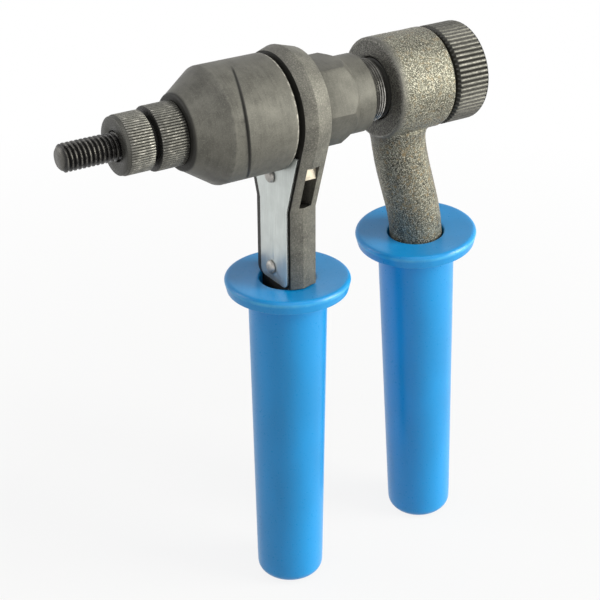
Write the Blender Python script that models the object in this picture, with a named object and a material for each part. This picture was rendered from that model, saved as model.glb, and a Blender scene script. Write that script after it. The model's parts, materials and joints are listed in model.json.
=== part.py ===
"""Two-handed ratchet setter for rivet nuts, built as separate pieces.

The tool's axis runs along +X, with the nose towards -X and the two handles hanging down.
Inside the tool, x is measured from the anvil's front face. Two empties carry the handles:
one for the ratchet lever, tilted about the tool's axis, and one for the fixed handle.
Lengths are in metres.
"""

import bpy
import bmesh
from math import acos, atan2, ceil, cos, degrees, hypot, pi, radians, sin, tan
from mathutils import Matrix, Vector

MM = 0.001

# Clearances between pieces
FIT = 0.3 * MM
BALL_FIT = 0.15 * MM
PROUD = 1.0 * MM

# Facets
TURNED_STEPS = 36
FINE_STEPS = 44
INNER_STEPS = 24
SMALL_STEPS = 14
GRIP_STEPS = 32
ARM_STEPS = 24
KNOB_STEPS = 186
KNOB_STEPS_PER_FLUTE = 3

# Mandrel: a 3/8-16 thread on a plain rod, with a head behind the spindle
THREAD_R = 4.7625 * MM
MANDREL_REACH = 19.7 * MM
MANDREL_CHAMFER = 1.4 * MM
MANDREL_ROD_R = 4.55 * MM
MANDREL_THREAD_LENGTH = 44.0 * MM
MANDREL_HEAD_R = 7.0 * MM
MANDREL_HEAD_LENGTH = 3.7 * MM
DRIVE_HEX_R = 4.6 * MM
DRIVE_HEX_LENGTH = 10.0 * MM

# Anvil and its lock ring
ANVIL_R = 10.12 * MM
ANVIL_HEAD_LENGTH = 10.0 * MM
ANVIL_PLAIN_BAND = 1.0 * MM
ANVIL_TEETH = 66
ANVIL_SHANK_R = 7.5 * MM
ANVIL_SHANK_IN_NOSE = 11.0 * MM
ANVIL_TO_RING = 2.0 * MM
LOCK_RING_R = 10.95 * MM
LOCK_RING_LENGTH = 9.8 * MM
LOCK_RING_TEETH = 70
KNURL_DEPTH = 0.32 * MM
KNURL_CHAMFER = 0.6 * MM

# Nose housing
NOSE_RIM_R = 13.25 * MM
NOSE_RIM_ROUND = 1.0 * MM
NOSE_R = 20.24 * MM
NOSE_CONE_LENGTH = 11.72 * MM
NOSE_BARREL_LENGTH = 23.95 * MM
NOSE_EDGE = 0.5 * MM
PAD_RISE = 0.85 * MM
PAD_FROM_CONE = 4.1 * MM
PAD_WALL = 0.7 * MM
PAD_MIDDLE_ANGLE = radians(15.0)
PAD_HALF_ANGLE = radians(68.0)
PAD_FADE = 3.0

# Thrust bearing, in a chamber inside the nose
BEARING_CHAMBER_R = 12.5 * MM
NOSE_NECK_LENGTH = 5.0 * MM
RACE_IN_R = 8.1 * MM
RACE_OUT_R = 12.2 * MM
RACE_THICKNESS = 1.3 * MM
BALL_R = 1.5 * MM
BALL_COUNT = 12
CAGE_THICKNESS = 1.0 * MM
CAGE_HOLE_FIT = 0.25 * MM

# Main body: a tube through the lever's ring, a hexagon, a barrel and a threaded neck
BODY_TUBE_R = 13.5 * MM
BODY_BORE_R = 11.6 * MM
BODY_BEHIND_NUT_FRONT = 2.37 * MM
BODY_STEP_R = 10.2 * MM
HEX_ACROSS_FLATS = 28.0 * MM
HEX_BLANK_R = 16.15 * MM
HEX_LENGTH = 11.0 * MM
HEX_FRONT_CHAMFER = 1.5 * MM
HEX_REAR_CHAMFER = 3.4 * MM
BARREL_R = 13.93 * MM
BARREL_LENGTH = 7.1 * MM
NECK_R = 10.9 * MM
NECK_RELIEF_R = 10.2 * MM
NECK_RELIEF_LENGTH = 1.7 * MM
NECK_SHOWING = 7.6 * MM
NECK_IN_HEAD = 11.0 * MM
PAWL_WINDOW_BACK = radians(98.0)
PAWL_WINDOW_AHEAD = radians(32.0)

# Ratchet nut and the spindle that it draws back
SPINDLE_R = 7.4 * MM
SPINDLE_BORE_R = 4.95 * MM
SPINDLE_FRONT_GAP = 2.0 * MM
SPINDLE_TRAVEL = 7.0 * MM
NUT_JOURNAL_R = 9.7 * MM
NUT_TIP_R = 11.3 * MM
NUT_ROOT_R = 9.9 * MM
NUT_TEETH = 16
NUT_TEETH_LENGTH = 8.4 * MM
NUT_REAR_JOURNAL = 3.5 * MM
WASHER_THICKNESS = 0.8 * MM
KEY_WIDTH = 3.6 * MM
KEY_LENGTH = 9.0 * MM
KEY_INNER_R = 6.2 * MM
KEY_OUTER_R = 9.0 * MM
KEYWAY_FLOOR_R = 5.9 * MM

# Rear head, a casting whose curved arm is the fixed handle
HEAD_R = 18.05 * MM
HEAD_LENGTH = 23.4 * MM
HEAD_ROUND = 1.0 * MM
ARM_R = 9.85 * MM
ARM_START = 6.0 * MM
ARM_BEND_TOP = 12.0 * MM
ARM_BEND_BOTTOM = 62.0 * MM
ARM_ROOT_FLARE = 1.3 * MM
ARM_FILLET = 2.0 * MM
REAR_LEAN = radians(4.37)
REAR_HANDLE_AHEAD = 6.45 * MM

# Control knob and its screw
KNOB_R = 17.9 * MM
KNOB_LENGTH = 13.8 * MM
KNOB_GAP = 1.5 * MM
FLUTE_DEPTH = 0.55 * MM
KNOB_REAR_ROUND = 1.66 * MM
KNOB_REAR_EDGE_ANGLE = radians(20.0)
KNOB_RECESS_R = 6.5 * MM
KNOB_RECESS_DEPTH = 4.4 * MM
KNOB_SCREW_R = 2.0 * MM
KNOB_SCREW_HEAD_R = 3.5 * MM
KNOB_SCREW_HEAD_LENGTH = 2.6 * MM
KNOB_SCREW_GRIP = 7.0 * MM
KNOB_WASHER_R = 5.4 * MM

# Ratchet lever, a casting with draft to both sides of its parting line
LEVER_TILT = radians(-2.39)
LEVER_GAP = 2.0 * MM
LEVER_RING_R = 22.02 * MM
LEVER_FRONT_HALF = 4.5 * MM
LEVER_REAR_HALF = 6.2 * MM
LEVER_FRONT_DRAFT = 1.4 * MM
LEVER_REAR_DRAFT = 1.7 * MM
SHANK_HALF_WIDTH = 12.0 * MM
KNEE_DROP = 34.0 * MM
SHANK_IN_GRIP = 13.0 * MM
SHANK_NECK_HALF_WIDTH = 8.8 * MM
LEVER_WASHER_R = 17.4 * MM
PAWL_POCKET_DEPTH = 8.0 * MM
POCKET_TOP = 9.8 * MM
POCKET_BOTTOM = 37.0 * MM
POCKET_LEFT = 11.5 * MM
POCKET_RIGHT = 5.0 * MM
POCKET_WALL = 1.6 * MM
WINDOW_WIDTH = 5.2 * MM
WINDOW_BEHIND_FRONT = 2.9 * MM
WINDOW_TOP = 16.3 * MM
WINDOW_BOTTOM = 32.6 * MM

# Pawl, its pivot rivet and its spring
PIVOT_DROP = 23.5 * MM
PAWL_HUB_R = 3.3 * MM
PAWL_TIP_ANGLE = radians(38.0)
PAWL_TIP_GAP = 0.45 * MM
PAWL_BACKLASH = 0.7 * MM
PAWL_NOSE_ANGLE = radians(14.0)
HUB_HEEL_ANGLE = radians(25.0)
HUB_NOSE_ANGLE = radians(15.0)
HEEL_REACH = 14.8 * MM
HEEL_DEPTH = 4.8 * MM
SPRING_R = 1.8 * MM
SPRING_WIRE_R = 0.35 * MM
SPRING_TURNS = 5
SPRING_OFFSET = 4.8 * MM
SPRING_CLEAR = 0.175 * MM

# Cover plate and rivets
PLATE_THICKNESS = 0.8 * MM
PLATE_INSET = 0.8 * MM
PLATE_TOP = 12.0 * MM
PLATE_ABOVE_GRIP = 0.3 * MM
PLATE_CORNER = 2.5 * MM
RIVET_R = 1.5 * MM
RIVET_HEAD_R = 2.5 * MM
RIVET_HEAD_HEIGHT = 1.3 * MM
LOWER_RIVET_DROP = 58.5 * MM

# Handles and their moulded grips
AXIS_HEIGHT = 191.2 * MM
FRONT_GRIP_DROP = 63.3 * MM
REAR_GRIP_DROP = 60.8 * MM
FLANGE_R = 22.8 * MM
FLANGE_THICKNESS = 5.0 * MM
FLANGE_TOP_ROUND = 2.4 * MM
FLANGE_UNDERCUT = 0.75 * MM
FLANGE_EDGE = 0.3 * MM
FLANGE_DISH = 0.85 * MM
GRIP_R = 14.4 * MM
GRIP_TAPER = 0.0149
GRIP_FILLET = 2.2 * MM
GRIP_END_ROUND = 4.0 * MM
GRIP_END_WALL = 6.0 * MM
FRONT_MOUTH_R = 10.8 * MM
REAR_MOUTH_R = 10.5 * MM
MOUTH_DEPTH = 15.0 * MM
TANG_R = 8.0 * MM
TANG_END_GAP = 0.5 * MM

# Stations along the axis, from the anvil's front face
ANVIL_REAR = ANVIL_HEAD_LENGTH
RING_FRONT = ANVIL_REAR + ANVIL_TO_RING
RING_REAR = RING_FRONT + LOCK_RING_LENGTH
NOSE_FRONT = RING_REAR + FIT
CONE_REAR = NOSE_FRONT + NOSE_CONE_LENGTH
NOSE_REAR = CONE_REAR + NOSE_BARREL_LENGTH
SHANK_END = NOSE_FRONT + ANVIL_SHANK_IN_NOSE
CHAMBER_FRONT = SHANK_END + FIT + NOSE_NECK_LENGTH
FRONT_RACE = CHAMBER_FRONT + FIT
BALL_X = FRONT_RACE + RACE_THICKNESS + BALL_FIT + BALL_R
REAR_RACE = BALL_X + BALL_R + BALL_FIT
NUT_FRONT = REAR_RACE + RACE_THICKNESS + FIT
BODY_FRONT = NUT_FRONT + BODY_BEHIND_NUT_FRONT
LEVER_FRONT = NOSE_REAR + LEVER_GAP
LEVER_RIDGE = LEVER_FRONT + LEVER_FRONT_HALF
LEVER_REAR = LEVER_RIDGE + LEVER_REAR_HALF
WASHER_FRONT = LEVER_REAR + FIT
HEX_FRONT = WASHER_FRONT + WASHER_THICKNESS + FIT
HEX_REAR = HEX_FRONT + HEX_LENGTH
BARREL_FRONT = HEX_REAR + HEX_REAR_CHAMFER
BARREL_REAR = BARREL_FRONT + BARREL_LENGTH
HEAD_FRONT = BARREL_REAR + NECK_SHOWING
HEAD_REAR = HEAD_FRONT + HEAD_LENGTH
NECK_END = HEAD_FRONT + NECK_IN_HEAD
KNOB_FRONT = HEAD_REAR + KNOB_GAP
KNOB_REAR = KNOB_FRONT + KNOB_LENGTH
PAWL_MIDDLE = LEVER_FRONT + WINDOW_BEHIND_FRONT + WINDOW_WIDTH / 2
NUT_TEETH_FRONT = PAWL_MIDDLE - NUT_TEETH_LENGTH / 2
NUT_TEETH_REAR = PAWL_MIDDLE + NUT_TEETH_LENGTH / 2
BODY_STEP = NUT_TEETH_REAR + FIT
NUT_REAR = NUT_TEETH_REAR + NUT_REAR_JOURNAL
SPINDLE_FRONT = SHANK_END + SPINDLE_FRONT_GAP
MANDREL_HEAD_REAR = KNOB_FRONT - 3.0 * MM
MANDREL_HEAD_FRONT = MANDREL_HEAD_REAR - MANDREL_HEAD_LENGTH
SPINDLE_WASHER_FRONT = MANDREL_HEAD_FRONT - FIT - WASHER_THICKNESS
SPINDLE_REAR = SPINDLE_WASHER_FRONT - FIT
KEY_FRONT = (BARREL_FRONT + HEAD_FRONT - KEY_LENGTH) / 2
PLATE_FRONT = LEVER_FRONT - FIT - PLATE_THICKNESS
REAR_HANDLE_X = (HEAD_FRONT + HEAD_REAR) / 2 + REAR_HANDLE_AHEAD
TIP_X = -MANDREL_REACH

# Sizes that follow from others
PAWL_THICKNESS = WINDOW_WIDTH - 2 * FIT
SPINDLE_HOLE_R = SPINDLE_R + FIT
RING_BORE_R = BODY_TUBE_R + FIT
RIVET_HOLE_R = RIVET_R + FIT
TANG_BORE_R = TANG_R + FIT
PIVOT_TO_TOOTH = 2 * pi / NUT_TEETH


def grip_end_radius(length):
    """Radius of a grip at its lower end, where the taper has run its whole length."""
    return GRIP_R - GRIP_TAPER * (length - FLANGE_THICKNESS)


def grip_length(drop, lean):
    """Length of a grip whose rounded end just reaches the floor."""
    length = AXIS_HEIGHT - drop
    for _ in range(4):
        flat_r = grip_end_radius(length) - GRIP_END_ROUND
        reach = (AXIS_HEIGHT - GRIP_END_ROUND - flat_r * sin(lean)) / cos(lean)
        length = reach + GRIP_END_ROUND - drop
    return length


FRONT_GRIP_LENGTH = grip_length(FRONT_GRIP_DROP, abs(LEVER_TILT))
REAR_GRIP_LENGTH = grip_length(REAR_GRIP_DROP, REAR_LEAN)
FRONT_TANG_END = FRONT_GRIP_DROP + FRONT_GRIP_LENGTH - GRIP_END_WALL - TANG_END_GAP
REAR_TANG_END = REAR_GRIP_DROP + REAR_GRIP_LENGTH - GRIP_END_WALL - TANG_END_GAP

# The origin is under the middle of the tool, on the floor that the grips reach
FRONT_RIM_DROP = FRONT_GRIP_DROP + FLANGE_TOP_ROUND
LEVER_SIDE_REACH = FRONT_RIM_DROP * sin(abs(LEVER_TILT)) + FLANGE_R * cos(LEVER_TILT)
REAR_RIM_DROP = REAR_GRIP_DROP + FLANGE_TOP_ROUND
RIM_REACH = REAR_RIM_DROP * sin(REAR_LEAN) + FLANGE_R * cos(REAR_LEAN)
FOOT_DROP = REAR_GRIP_DROP + REAR_GRIP_LENGTH - GRIP_END_ROUND
FOOT_REACH = FOOT_DROP * sin(REAR_LEAN) + grip_end_radius(REAR_GRIP_LENGTH) * cos(REAR_LEAN)
AXIS_X = -(TIP_X + max(KNOB_REAR, REAR_HANDLE_X + max(RIM_REACH, FOOT_REACH))) / 2
AXIS_Y = (LEVER_SIDE_REACH - FLANGE_R) / 2


def clear_scene():
    for thing in list(bpy.data.objects):
        bpy.data.objects.remove(thing, do_unlink=True)


def material(name, colour, roughness, metallic):
    made = bpy.data.materials.new(name)
    made.use_nodes = True
    shader = made.node_tree.nodes["Principled BSDF"]
    shader.inputs["Base Color"].default_value = (*colour, 1.0)
    shader.inputs["Roughness"].default_value = roughness
    shader.inputs["Metallic"].default_value = metallic
    return made


def empty(name, parent=None, location=(0, 0, 0), rotation=(0, 0, 0)):
    made = bpy.data.objects.new(name, None)
    bpy.context.collection.objects.link(made)
    made.parent = parent
    made.location = location
    made.rotation_euler = rotation
    return made


def finish(bm, name, parent, look=None, sharp=35.0):
    """Turn a bmesh into an object with smooth round sides and sharp edges."""
    bmesh.ops.remove_doubles(bm, verts=bm.verts, dist=1e-7)
    bmesh.ops.recalc_face_normals(bm, faces=bm.faces)
    mesh = bpy.data.meshes.new(name)
    bm.to_mesh(mesh)
    bm.free()
    mesh.shade_smooth()
    mesh.set_sharp_from_angle(angle=radians(sharp))
    made = bpy.data.objects.new(name, mesh)
    bpy.context.collection.objects.link(made)
    made.parent = parent
    made["edge_angle"] = sharp
    if look:
        mesh.materials.append(look)
    return made


def spin_profile(profile, steps, upright=False):
    """Spin (station, radius) points about X, or about Z where upright."""
    bm = bmesh.new()
    place = (lambda s, r: (r, 0, s)) if upright else (lambda s, r: (s, 0, r))
    verts = [bm.verts.new(place(s, r)) for s, r in profile]
    pairs = list(zip(verts, verts[1:]))
    if profile[0][1] > 0 or profile[-1][1] > 0:
        pairs.append((verts[-1], verts[0]))
    edges = [bm.edges.new(pair) for pair in pairs]
    axis = (0, 0, 1) if upright else (1, 0, 0)
    bmesh.ops.spin(bm, geom=verts + edges, cent=(0, 0, 0), axis=axis, angle=2 * pi,
                   steps=steps, use_merge=True)
    bmesh.ops.remove_doubles(bm, verts=bm.verts, dist=1e-7)
    return bm


def turned(name, profile, parent, look=None, steps=TURNED_STEPS, upright=False):
    return finish(spin_profile(profile, steps, upright), name, parent, look)


def prism(name, outline, x0, x1, parent, look=None, turn=0.0):
    """Extrude a (y, z) outline from x0 to x1."""
    bm = bmesh.new()
    spin = Matrix.Rotation(turn, 3, 'X')
    face = bm.faces.new([bm.verts.new(spin @ Vector((x0, y, z))) for y, z in outline])
    pushed = bmesh.ops.extrude_face_region(bm, geom=[face])
    moved = [v for v in pushed["geom"] if isinstance(v, bmesh.types.BMVert)]
    bmesh.ops.translate(bm, verts=moved, vec=(x1 - x0, 0, 0))
    return finish(bm, name, parent, look)


def block(name, x0, x1, y0, y1, z0, z1, parent, look=None):
    return prism(name, [(y0, z0), (y1, z0), (y1, z1), (y0, z1)], x0, x1, parent, look)


def guide(shape):
    shape.hide_render = True
    shape.display_type = 'WIRE'
    return shape


def combine(target, shape, operation):
    """Cut a shape from an object, or join it on, with a Boolean modifier."""
    guide(shape)
    made = target.modifiers.new(shape.name, 'BOOLEAN')
    made.operation = operation
    made.solver = 'EXACT'
    made.object = shape


def cut(target, shape):
    combine(target, shape, 'DIFFERENCE')


def join(target, shape):
    combine(target, shape, 'UNION')


def settle():
    """Turn each cut and joined shape into its finished mesh, and mark its sharp edges again."""
    graph = bpy.context.evaluated_depsgraph_get()
    made = {shape: bpy.data.meshes.new_from_object(shape.evaluated_get(graph))
            for shape in bpy.data.objects if shape.modifiers}
    for shape, mesh in made.items():
        shape.modifiers.clear()
        shape.data = mesh
        mesh.name = shape.name
        mesh.shade_smooth()
        mesh.set_sharp_from_angle(angle=radians(shape["edge_angle"]))
    for shape in [shape for shape in bpy.data.objects if shape.hide_render]:
        bpy.data.objects.remove(shape)


def arc(centre, radius, start, end, count):
    """Points on an arc, both ends included, angles in degrees."""
    points = []
    for i in range(count + 1):
        angle = radians(start + (end - start) * i / count)
        points.append((centre[0] + radius * cos(angle), centre[1] + radius * sin(angle)))
    return points


def tube(x0, x1, inner, outer):
    return [(x0, inner), (x0, outer), (x1, outer), (x1, inner)]


def bar(x0, x1, radius):
    return [(x0, 0), (x0, radius), (x1, radius), (x1, 0)]


def knurled(name, x0, x1, radius, teeth, parent, look, plain_front=0.0):
    """A solid drum with straight pointed ribs and chamfered ends."""
    root = radius - KNURL_DEPTH
    front = x0 + plain_front
    edge_r = root - KNURL_CHAMFER / 2
    profile = [(x0, 0), (x0, edge_r), (front + KNURL_CHAMFER, radius),
               (x1 - KNURL_CHAMFER, radius), (x1, edge_r), (x1, 0)]
    bm = spin_profile(profile, 2 * teeth)
    step = pi / teeth
    for v in bm.verts:
        r = hypot(v.co.y, v.co.z)
        if r > (radius + edge_r) / 2 and round(atan2(v.co.z, v.co.y) / step) % 2:
            v.co.yz *= root / r
    return finish(bm, name, parent, look, sharp=20.0)


def make_anvil(parent, look):
    anvil = knurled("anvil", 0, ANVIL_REAR, ANVIL_R, ANVIL_TEETH, parent, look, ANVIL_PLAIN_BAND)
    join(anvil, turned("anvil_shank", bar(ANVIL_REAR / 2, SHANK_END, ANVIL_SHANK_R), parent))
    bore = THREAD_R + FIT
    cut(anvil, turned("anvil_bore", bar(-PROUD, SHANK_END + PROUD, bore), parent))


def make_lock_ring(parent, look):
    ring = knurled("lock_ring", RING_FRONT, RING_REAR, LOCK_RING_R, LOCK_RING_TEETH, parent, look)
    bore = ANVIL_SHANK_R + FIT
    cut(ring, turned("lock_ring_bore", bar(RING_FRONT - PROUD, RING_REAR + PROUD, bore), parent))


def pad_height(x, angle):
    """Height of the raised side pad over the barrel at a station and an angle from -Y."""
    off = angle - PAD_MIDDLE_ANGLE
    if abs(off) > pi:
        off = 2 * pi - abs(off)
    wall = CONE_REAR + PAD_FROM_CONE + PAD_WALL
    along = max(0.0, (x - wall) / (NOSE_REAR - wall)) ** PAD_FADE
    around = (cos(off) - cos(PAD_HALF_ANGLE)) / (1 - cos(PAD_HALF_ANGLE))
    return PAD_RISE * max(0.0, around - along)


def make_nose(parent, look):
    wall = CONE_REAR + PAD_FROM_CONE
    rim = arc((NOSE_FRONT + NOSE_RIM_ROUND, NOSE_RIM_R - NOSE_RIM_ROUND), NOSE_RIM_ROUND, 180, 90, 3)
    fade = [wall + PAD_WALL + (NOSE_REAR - NOSE_EDGE - wall - PAD_WALL) * t
            for t in (0.55, 1.0)]
    shank_hole = ANVIL_SHANK_R + FIT
    tube_hole = BODY_TUBE_R + FIT
    chamber_rear = BODY_FRONT - FIT
    profile = [(NOSE_FRONT, shank_hole)] + rim + [(CONE_REAR, NOSE_R), (wall, NOSE_R),
               (wall + PAD_WALL, NOSE_R)] + [(x, NOSE_R) for x in fade]
    profile += [(NOSE_REAR, NOSE_R - NOSE_EDGE), (NOSE_REAR, tube_hole),
                (chamber_rear, tube_hole), (chamber_rear, BEARING_CHAMBER_R),
                (CHAMBER_FRONT, BEARING_CHAMBER_R), (CHAMBER_FRONT, SPINDLE_HOLE_R),
                (SHANK_END + FIT, SPINDLE_HOLE_R), (SHANK_END + FIT, shank_hole)]
    bm = spin_profile(profile, FINE_STEPS)
    for v in bm.verts:
        r = hypot(v.co.y, v.co.z)
        if v.co.x > wall + PAD_WALL / 2 and r > NOSE_R - NOSE_EDGE / 2:
            v.co.yz *= 1 + pad_height(v.co.x, atan2(v.co.z, -v.co.y)) / r
    return finish(bm, "nose_housing", parent, look, sharp=30.0)


def hexagon_ring(name, flats, outer, x0, x1, parent):
    """A ring with a hexagonal hole, as a cutter that leaves a hexagon standing."""
    bm = bmesh.new()
    loops = []
    for radius in (flats / 2 / cos(pi / 6), outer):
        for x in (x0, x1):
            loops.append([bm.verts.new((x, radius * cos(i * pi / 3), radius * sin(i * pi / 3)))
                          for i in range(6)])
    inner0, inner1, outer0, outer1 = loops
    for a, b in ((inner0, inner1), (inner1, outer1), (outer1, outer0), (outer0, inner0)):
        for i in range(6):
            j = (i + 1) % 6
            bm.faces.new((a[i], a[j], b[j], b[i]))
    return finish(bm, name, parent)


def sector(name, start, end, inner, outer, x0, x1, parent):
    """A slice of a tube between two angles, measured from straight down towards +Y."""
    count = ceil(degrees(end - start) / 12)
    angles = [start + (end - start) * i / count for i in range(count + 1)]
    outline = [(outer * sin(a), -outer * cos(a)) for a in angles]
    outline += [(inner * sin(a), -inner * cos(a)) for a in reversed(angles)]
    return prism(name, outline, x0, x1, parent)


def make_main_body(parent, look):
    relief = HEAD_FRONT - NECK_RELIEF_LENGTH
    blank = [(BODY_FRONT, BODY_BORE_R), (BODY_FRONT, BODY_TUBE_R - FIT),
             (BODY_FRONT + FIT, BODY_TUBE_R), (HEX_FRONT, BODY_TUBE_R),
             (HEX_FRONT, HEX_BLANK_R - HEX_FRONT_CHAMFER),
             (HEX_FRONT + HEX_FRONT_CHAMFER, HEX_BLANK_R), (HEX_REAR, HEX_BLANK_R),
             (BARREL_FRONT, BARREL_R), (BARREL_REAR - FIT, BARREL_R),
             (BARREL_REAR, BARREL_R - FIT), (BARREL_REAR, NECK_R), (relief, NECK_R),
             (relief, NECK_RELIEF_R), (HEAD_FRONT, NECK_RELIEF_R), (HEAD_FRONT + FIT, NECK_R),
             (NECK_END - PROUD, NECK_R),
             (NECK_END, NECK_R - PROUD), (NECK_END, SPINDLE_HOLE_R),
             (NUT_REAR + FIT, SPINDLE_HOLE_R), (NUT_REAR + FIT, BODY_STEP_R),
             (BODY_STEP, BODY_STEP_R), (BODY_STEP, BODY_BORE_R)]
    body = turned("main_body", blank, parent, look)
    cut(body, hexagon_ring("hexagon_cut", HEX_ACROSS_FLATS, NOSE_R, HEX_FRONT - FIT / 2,
                           BARREL_FRONT + FIT, parent))
    cut(body, sector("pawl_window", -PAWL_WINDOW_BACK, PAWL_WINDOW_AHEAD, NUT_ROOT_R, HEX_BLANK_R,
                     NUT_TEETH_FRONT, NUT_TEETH_REAR, parent))
    slot = KEY_WIDTH / 2 + FIT
    cut(body, block("body_keyway", KEY_FRONT - FIT, NECK_END + PROUD, -slot, slot, 0,
                    KEY_OUTER_R + FIT, parent))
    return body


def make_bearing(parent, look, cage_look):
    turned("bearing_front_race", tube(FRONT_RACE, FRONT_RACE + RACE_THICKNESS, RACE_IN_R, RACE_OUT_R),
           parent, look, INNER_STEPS)
    turned("bearing_rear_race", tube(REAR_RACE, REAR_RACE + RACE_THICKNESS, RACE_IN_R, RACE_OUT_R),
           parent, look, INNER_STEPS)
    pitch_r = (RACE_IN_R + RACE_OUT_R) / 2
    cage = turned("bearing_cage", tube(BALL_X - CAGE_THICKNESS / 2, BALL_X + CAGE_THICKNESS / 2,
                                       RACE_IN_R, RACE_OUT_R), parent, cage_look, INNER_STEPS)
    holes = bmesh.new()
    for i in range(BALL_COUNT):
        angle = 2 * pi * i / BALL_COUNT
        place = Matrix.Translation((BALL_X, pitch_r * cos(angle), pitch_r * sin(angle)))
        ball = bmesh.new()
        bmesh.ops.create_icosphere(ball, subdivisions=2, radius=BALL_R, matrix=place)
        finish(ball, f"bearing_ball_{i + 1}", parent, look, sharp=60.0)
        along_x = place @ Matrix.Rotation(pi / 2, 4, 'Y')
        bmesh.ops.create_cone(holes, cap_ends=True, segments=8, radius1=BALL_R + CAGE_HOLE_FIT,
                              radius2=BALL_R + CAGE_HOLE_FIT, depth=2 * CAGE_THICKNESS,
                              matrix=along_x)
    cut(cage, finish(holes, "cage_holes", parent))


def ratchet_outline():
    """Tooth points round the nut, each with a steep face that the pawl pushes clockwise."""
    tip_r = NUT_ROOT_R + PAWL_TIP_GAP
    first = LEVER_TILT - pi / 2 - PAWL_TIP_ANGLE - PAWL_BACKLASH / tip_r
    points = []
    for i in range(NUT_TEETH):
        face = first + i * PIVOT_TO_TOOTH
        points.append((NUT_TIP_R * cos(face), NUT_TIP_R * sin(face)))
        points.append((NUT_ROOT_R * cos(face), NUT_ROOT_R * sin(face)))
        middle = face + PIVOT_TO_TOOTH / 2
        half_r = (NUT_ROOT_R + NUT_TIP_R) / 2
        points.append((half_r * cos(middle), half_r * sin(middle)))
    return points


def make_drive_nut(parent, look):
    nut = prism("drive_nut", ratchet_outline(), NUT_TEETH_FRONT, NUT_TEETH_REAR, parent, look)
    front = NUT_TEETH_FRONT + PROUD
    join(nut, turned("nut_front", bar(NUT_FRONT, front, NUT_TIP_R), parent, None, INNER_STEPS))
    join(nut, turned("nut_rear", bar(PAWL_MIDDLE, NUT_REAR, NUT_JOURNAL_R), parent, None, INNER_STEPS))
    cut(nut, turned("nut_bore", bar(NUT_FRONT - PROUD, NUT_REAR + PROUD, SPINDLE_HOLE_R), parent, None,
                    INNER_STEPS))


def make_spindle(parent, look, washer_look):
    spindle = turned("pull_spindle", tube(SPINDLE_FRONT, SPINDLE_REAR, SPINDLE_BORE_R, SPINDLE_R),
                     parent, look, INNER_STEPS)
    slot = KEY_WIDTH / 2 + FIT
    cut(spindle, block("spindle_keyway", KEY_FRONT - SPINDLE_TRAVEL - FIT, KEY_FRONT + KEY_LENGTH + FIT,
                       -slot, slot, KEYWAY_FLOOR_R, KEY_OUTER_R, parent))
    half = KEY_WIDTH / 2
    block("guide_key", KEY_FRONT, KEY_FRONT + KEY_LENGTH, -half, half, KEY_INNER_R, KEY_OUTER_R,
          parent, look)
    rear = SPINDLE_WASHER_FRONT + WASHER_THICKNESS
    turned("spindle_washer", tube(SPINDLE_WASHER_FRONT, rear, SPINDLE_BORE_R, MANDREL_HEAD_R),
           parent, washer_look, SMALL_STEPS)


def make_mandrel(parent, look):
    thread_end = TIP_X + MANDREL_THREAD_LENGTH
    profile = [(TIP_X, 0), (TIP_X, THREAD_R - MANDREL_CHAMFER), (TIP_X + MANDREL_CHAMFER, THREAD_R),
               (thread_end, THREAD_R), (thread_end + PROUD, MANDREL_ROD_R),
               (MANDREL_HEAD_FRONT, MANDREL_ROD_R), (MANDREL_HEAD_FRONT, MANDREL_HEAD_R),
               (MANDREL_HEAD_REAR, MANDREL_HEAD_R), (MANDREL_HEAD_REAR, 0)]
    mandrel = turned("mandrel", profile, parent, look, INNER_STEPS)
    stub_end = MANDREL_HEAD_REAR + DRIVE_HEX_LENGTH
    join(mandrel, turned("drive_hexagon", bar(MANDREL_HEAD_FRONT + PROUD, stub_end, DRIVE_HEX_R),
                         parent, None, 6))
    hole = KNOB_SCREW_R + FIT
    hole_front = stub_end - KNOB_SCREW_GRIP - FIT
    cut(mandrel, turned("screw_hole", bar(hole_front, stub_end + PROUD, hole), parent, None, SMALL_STEPS))


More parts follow.
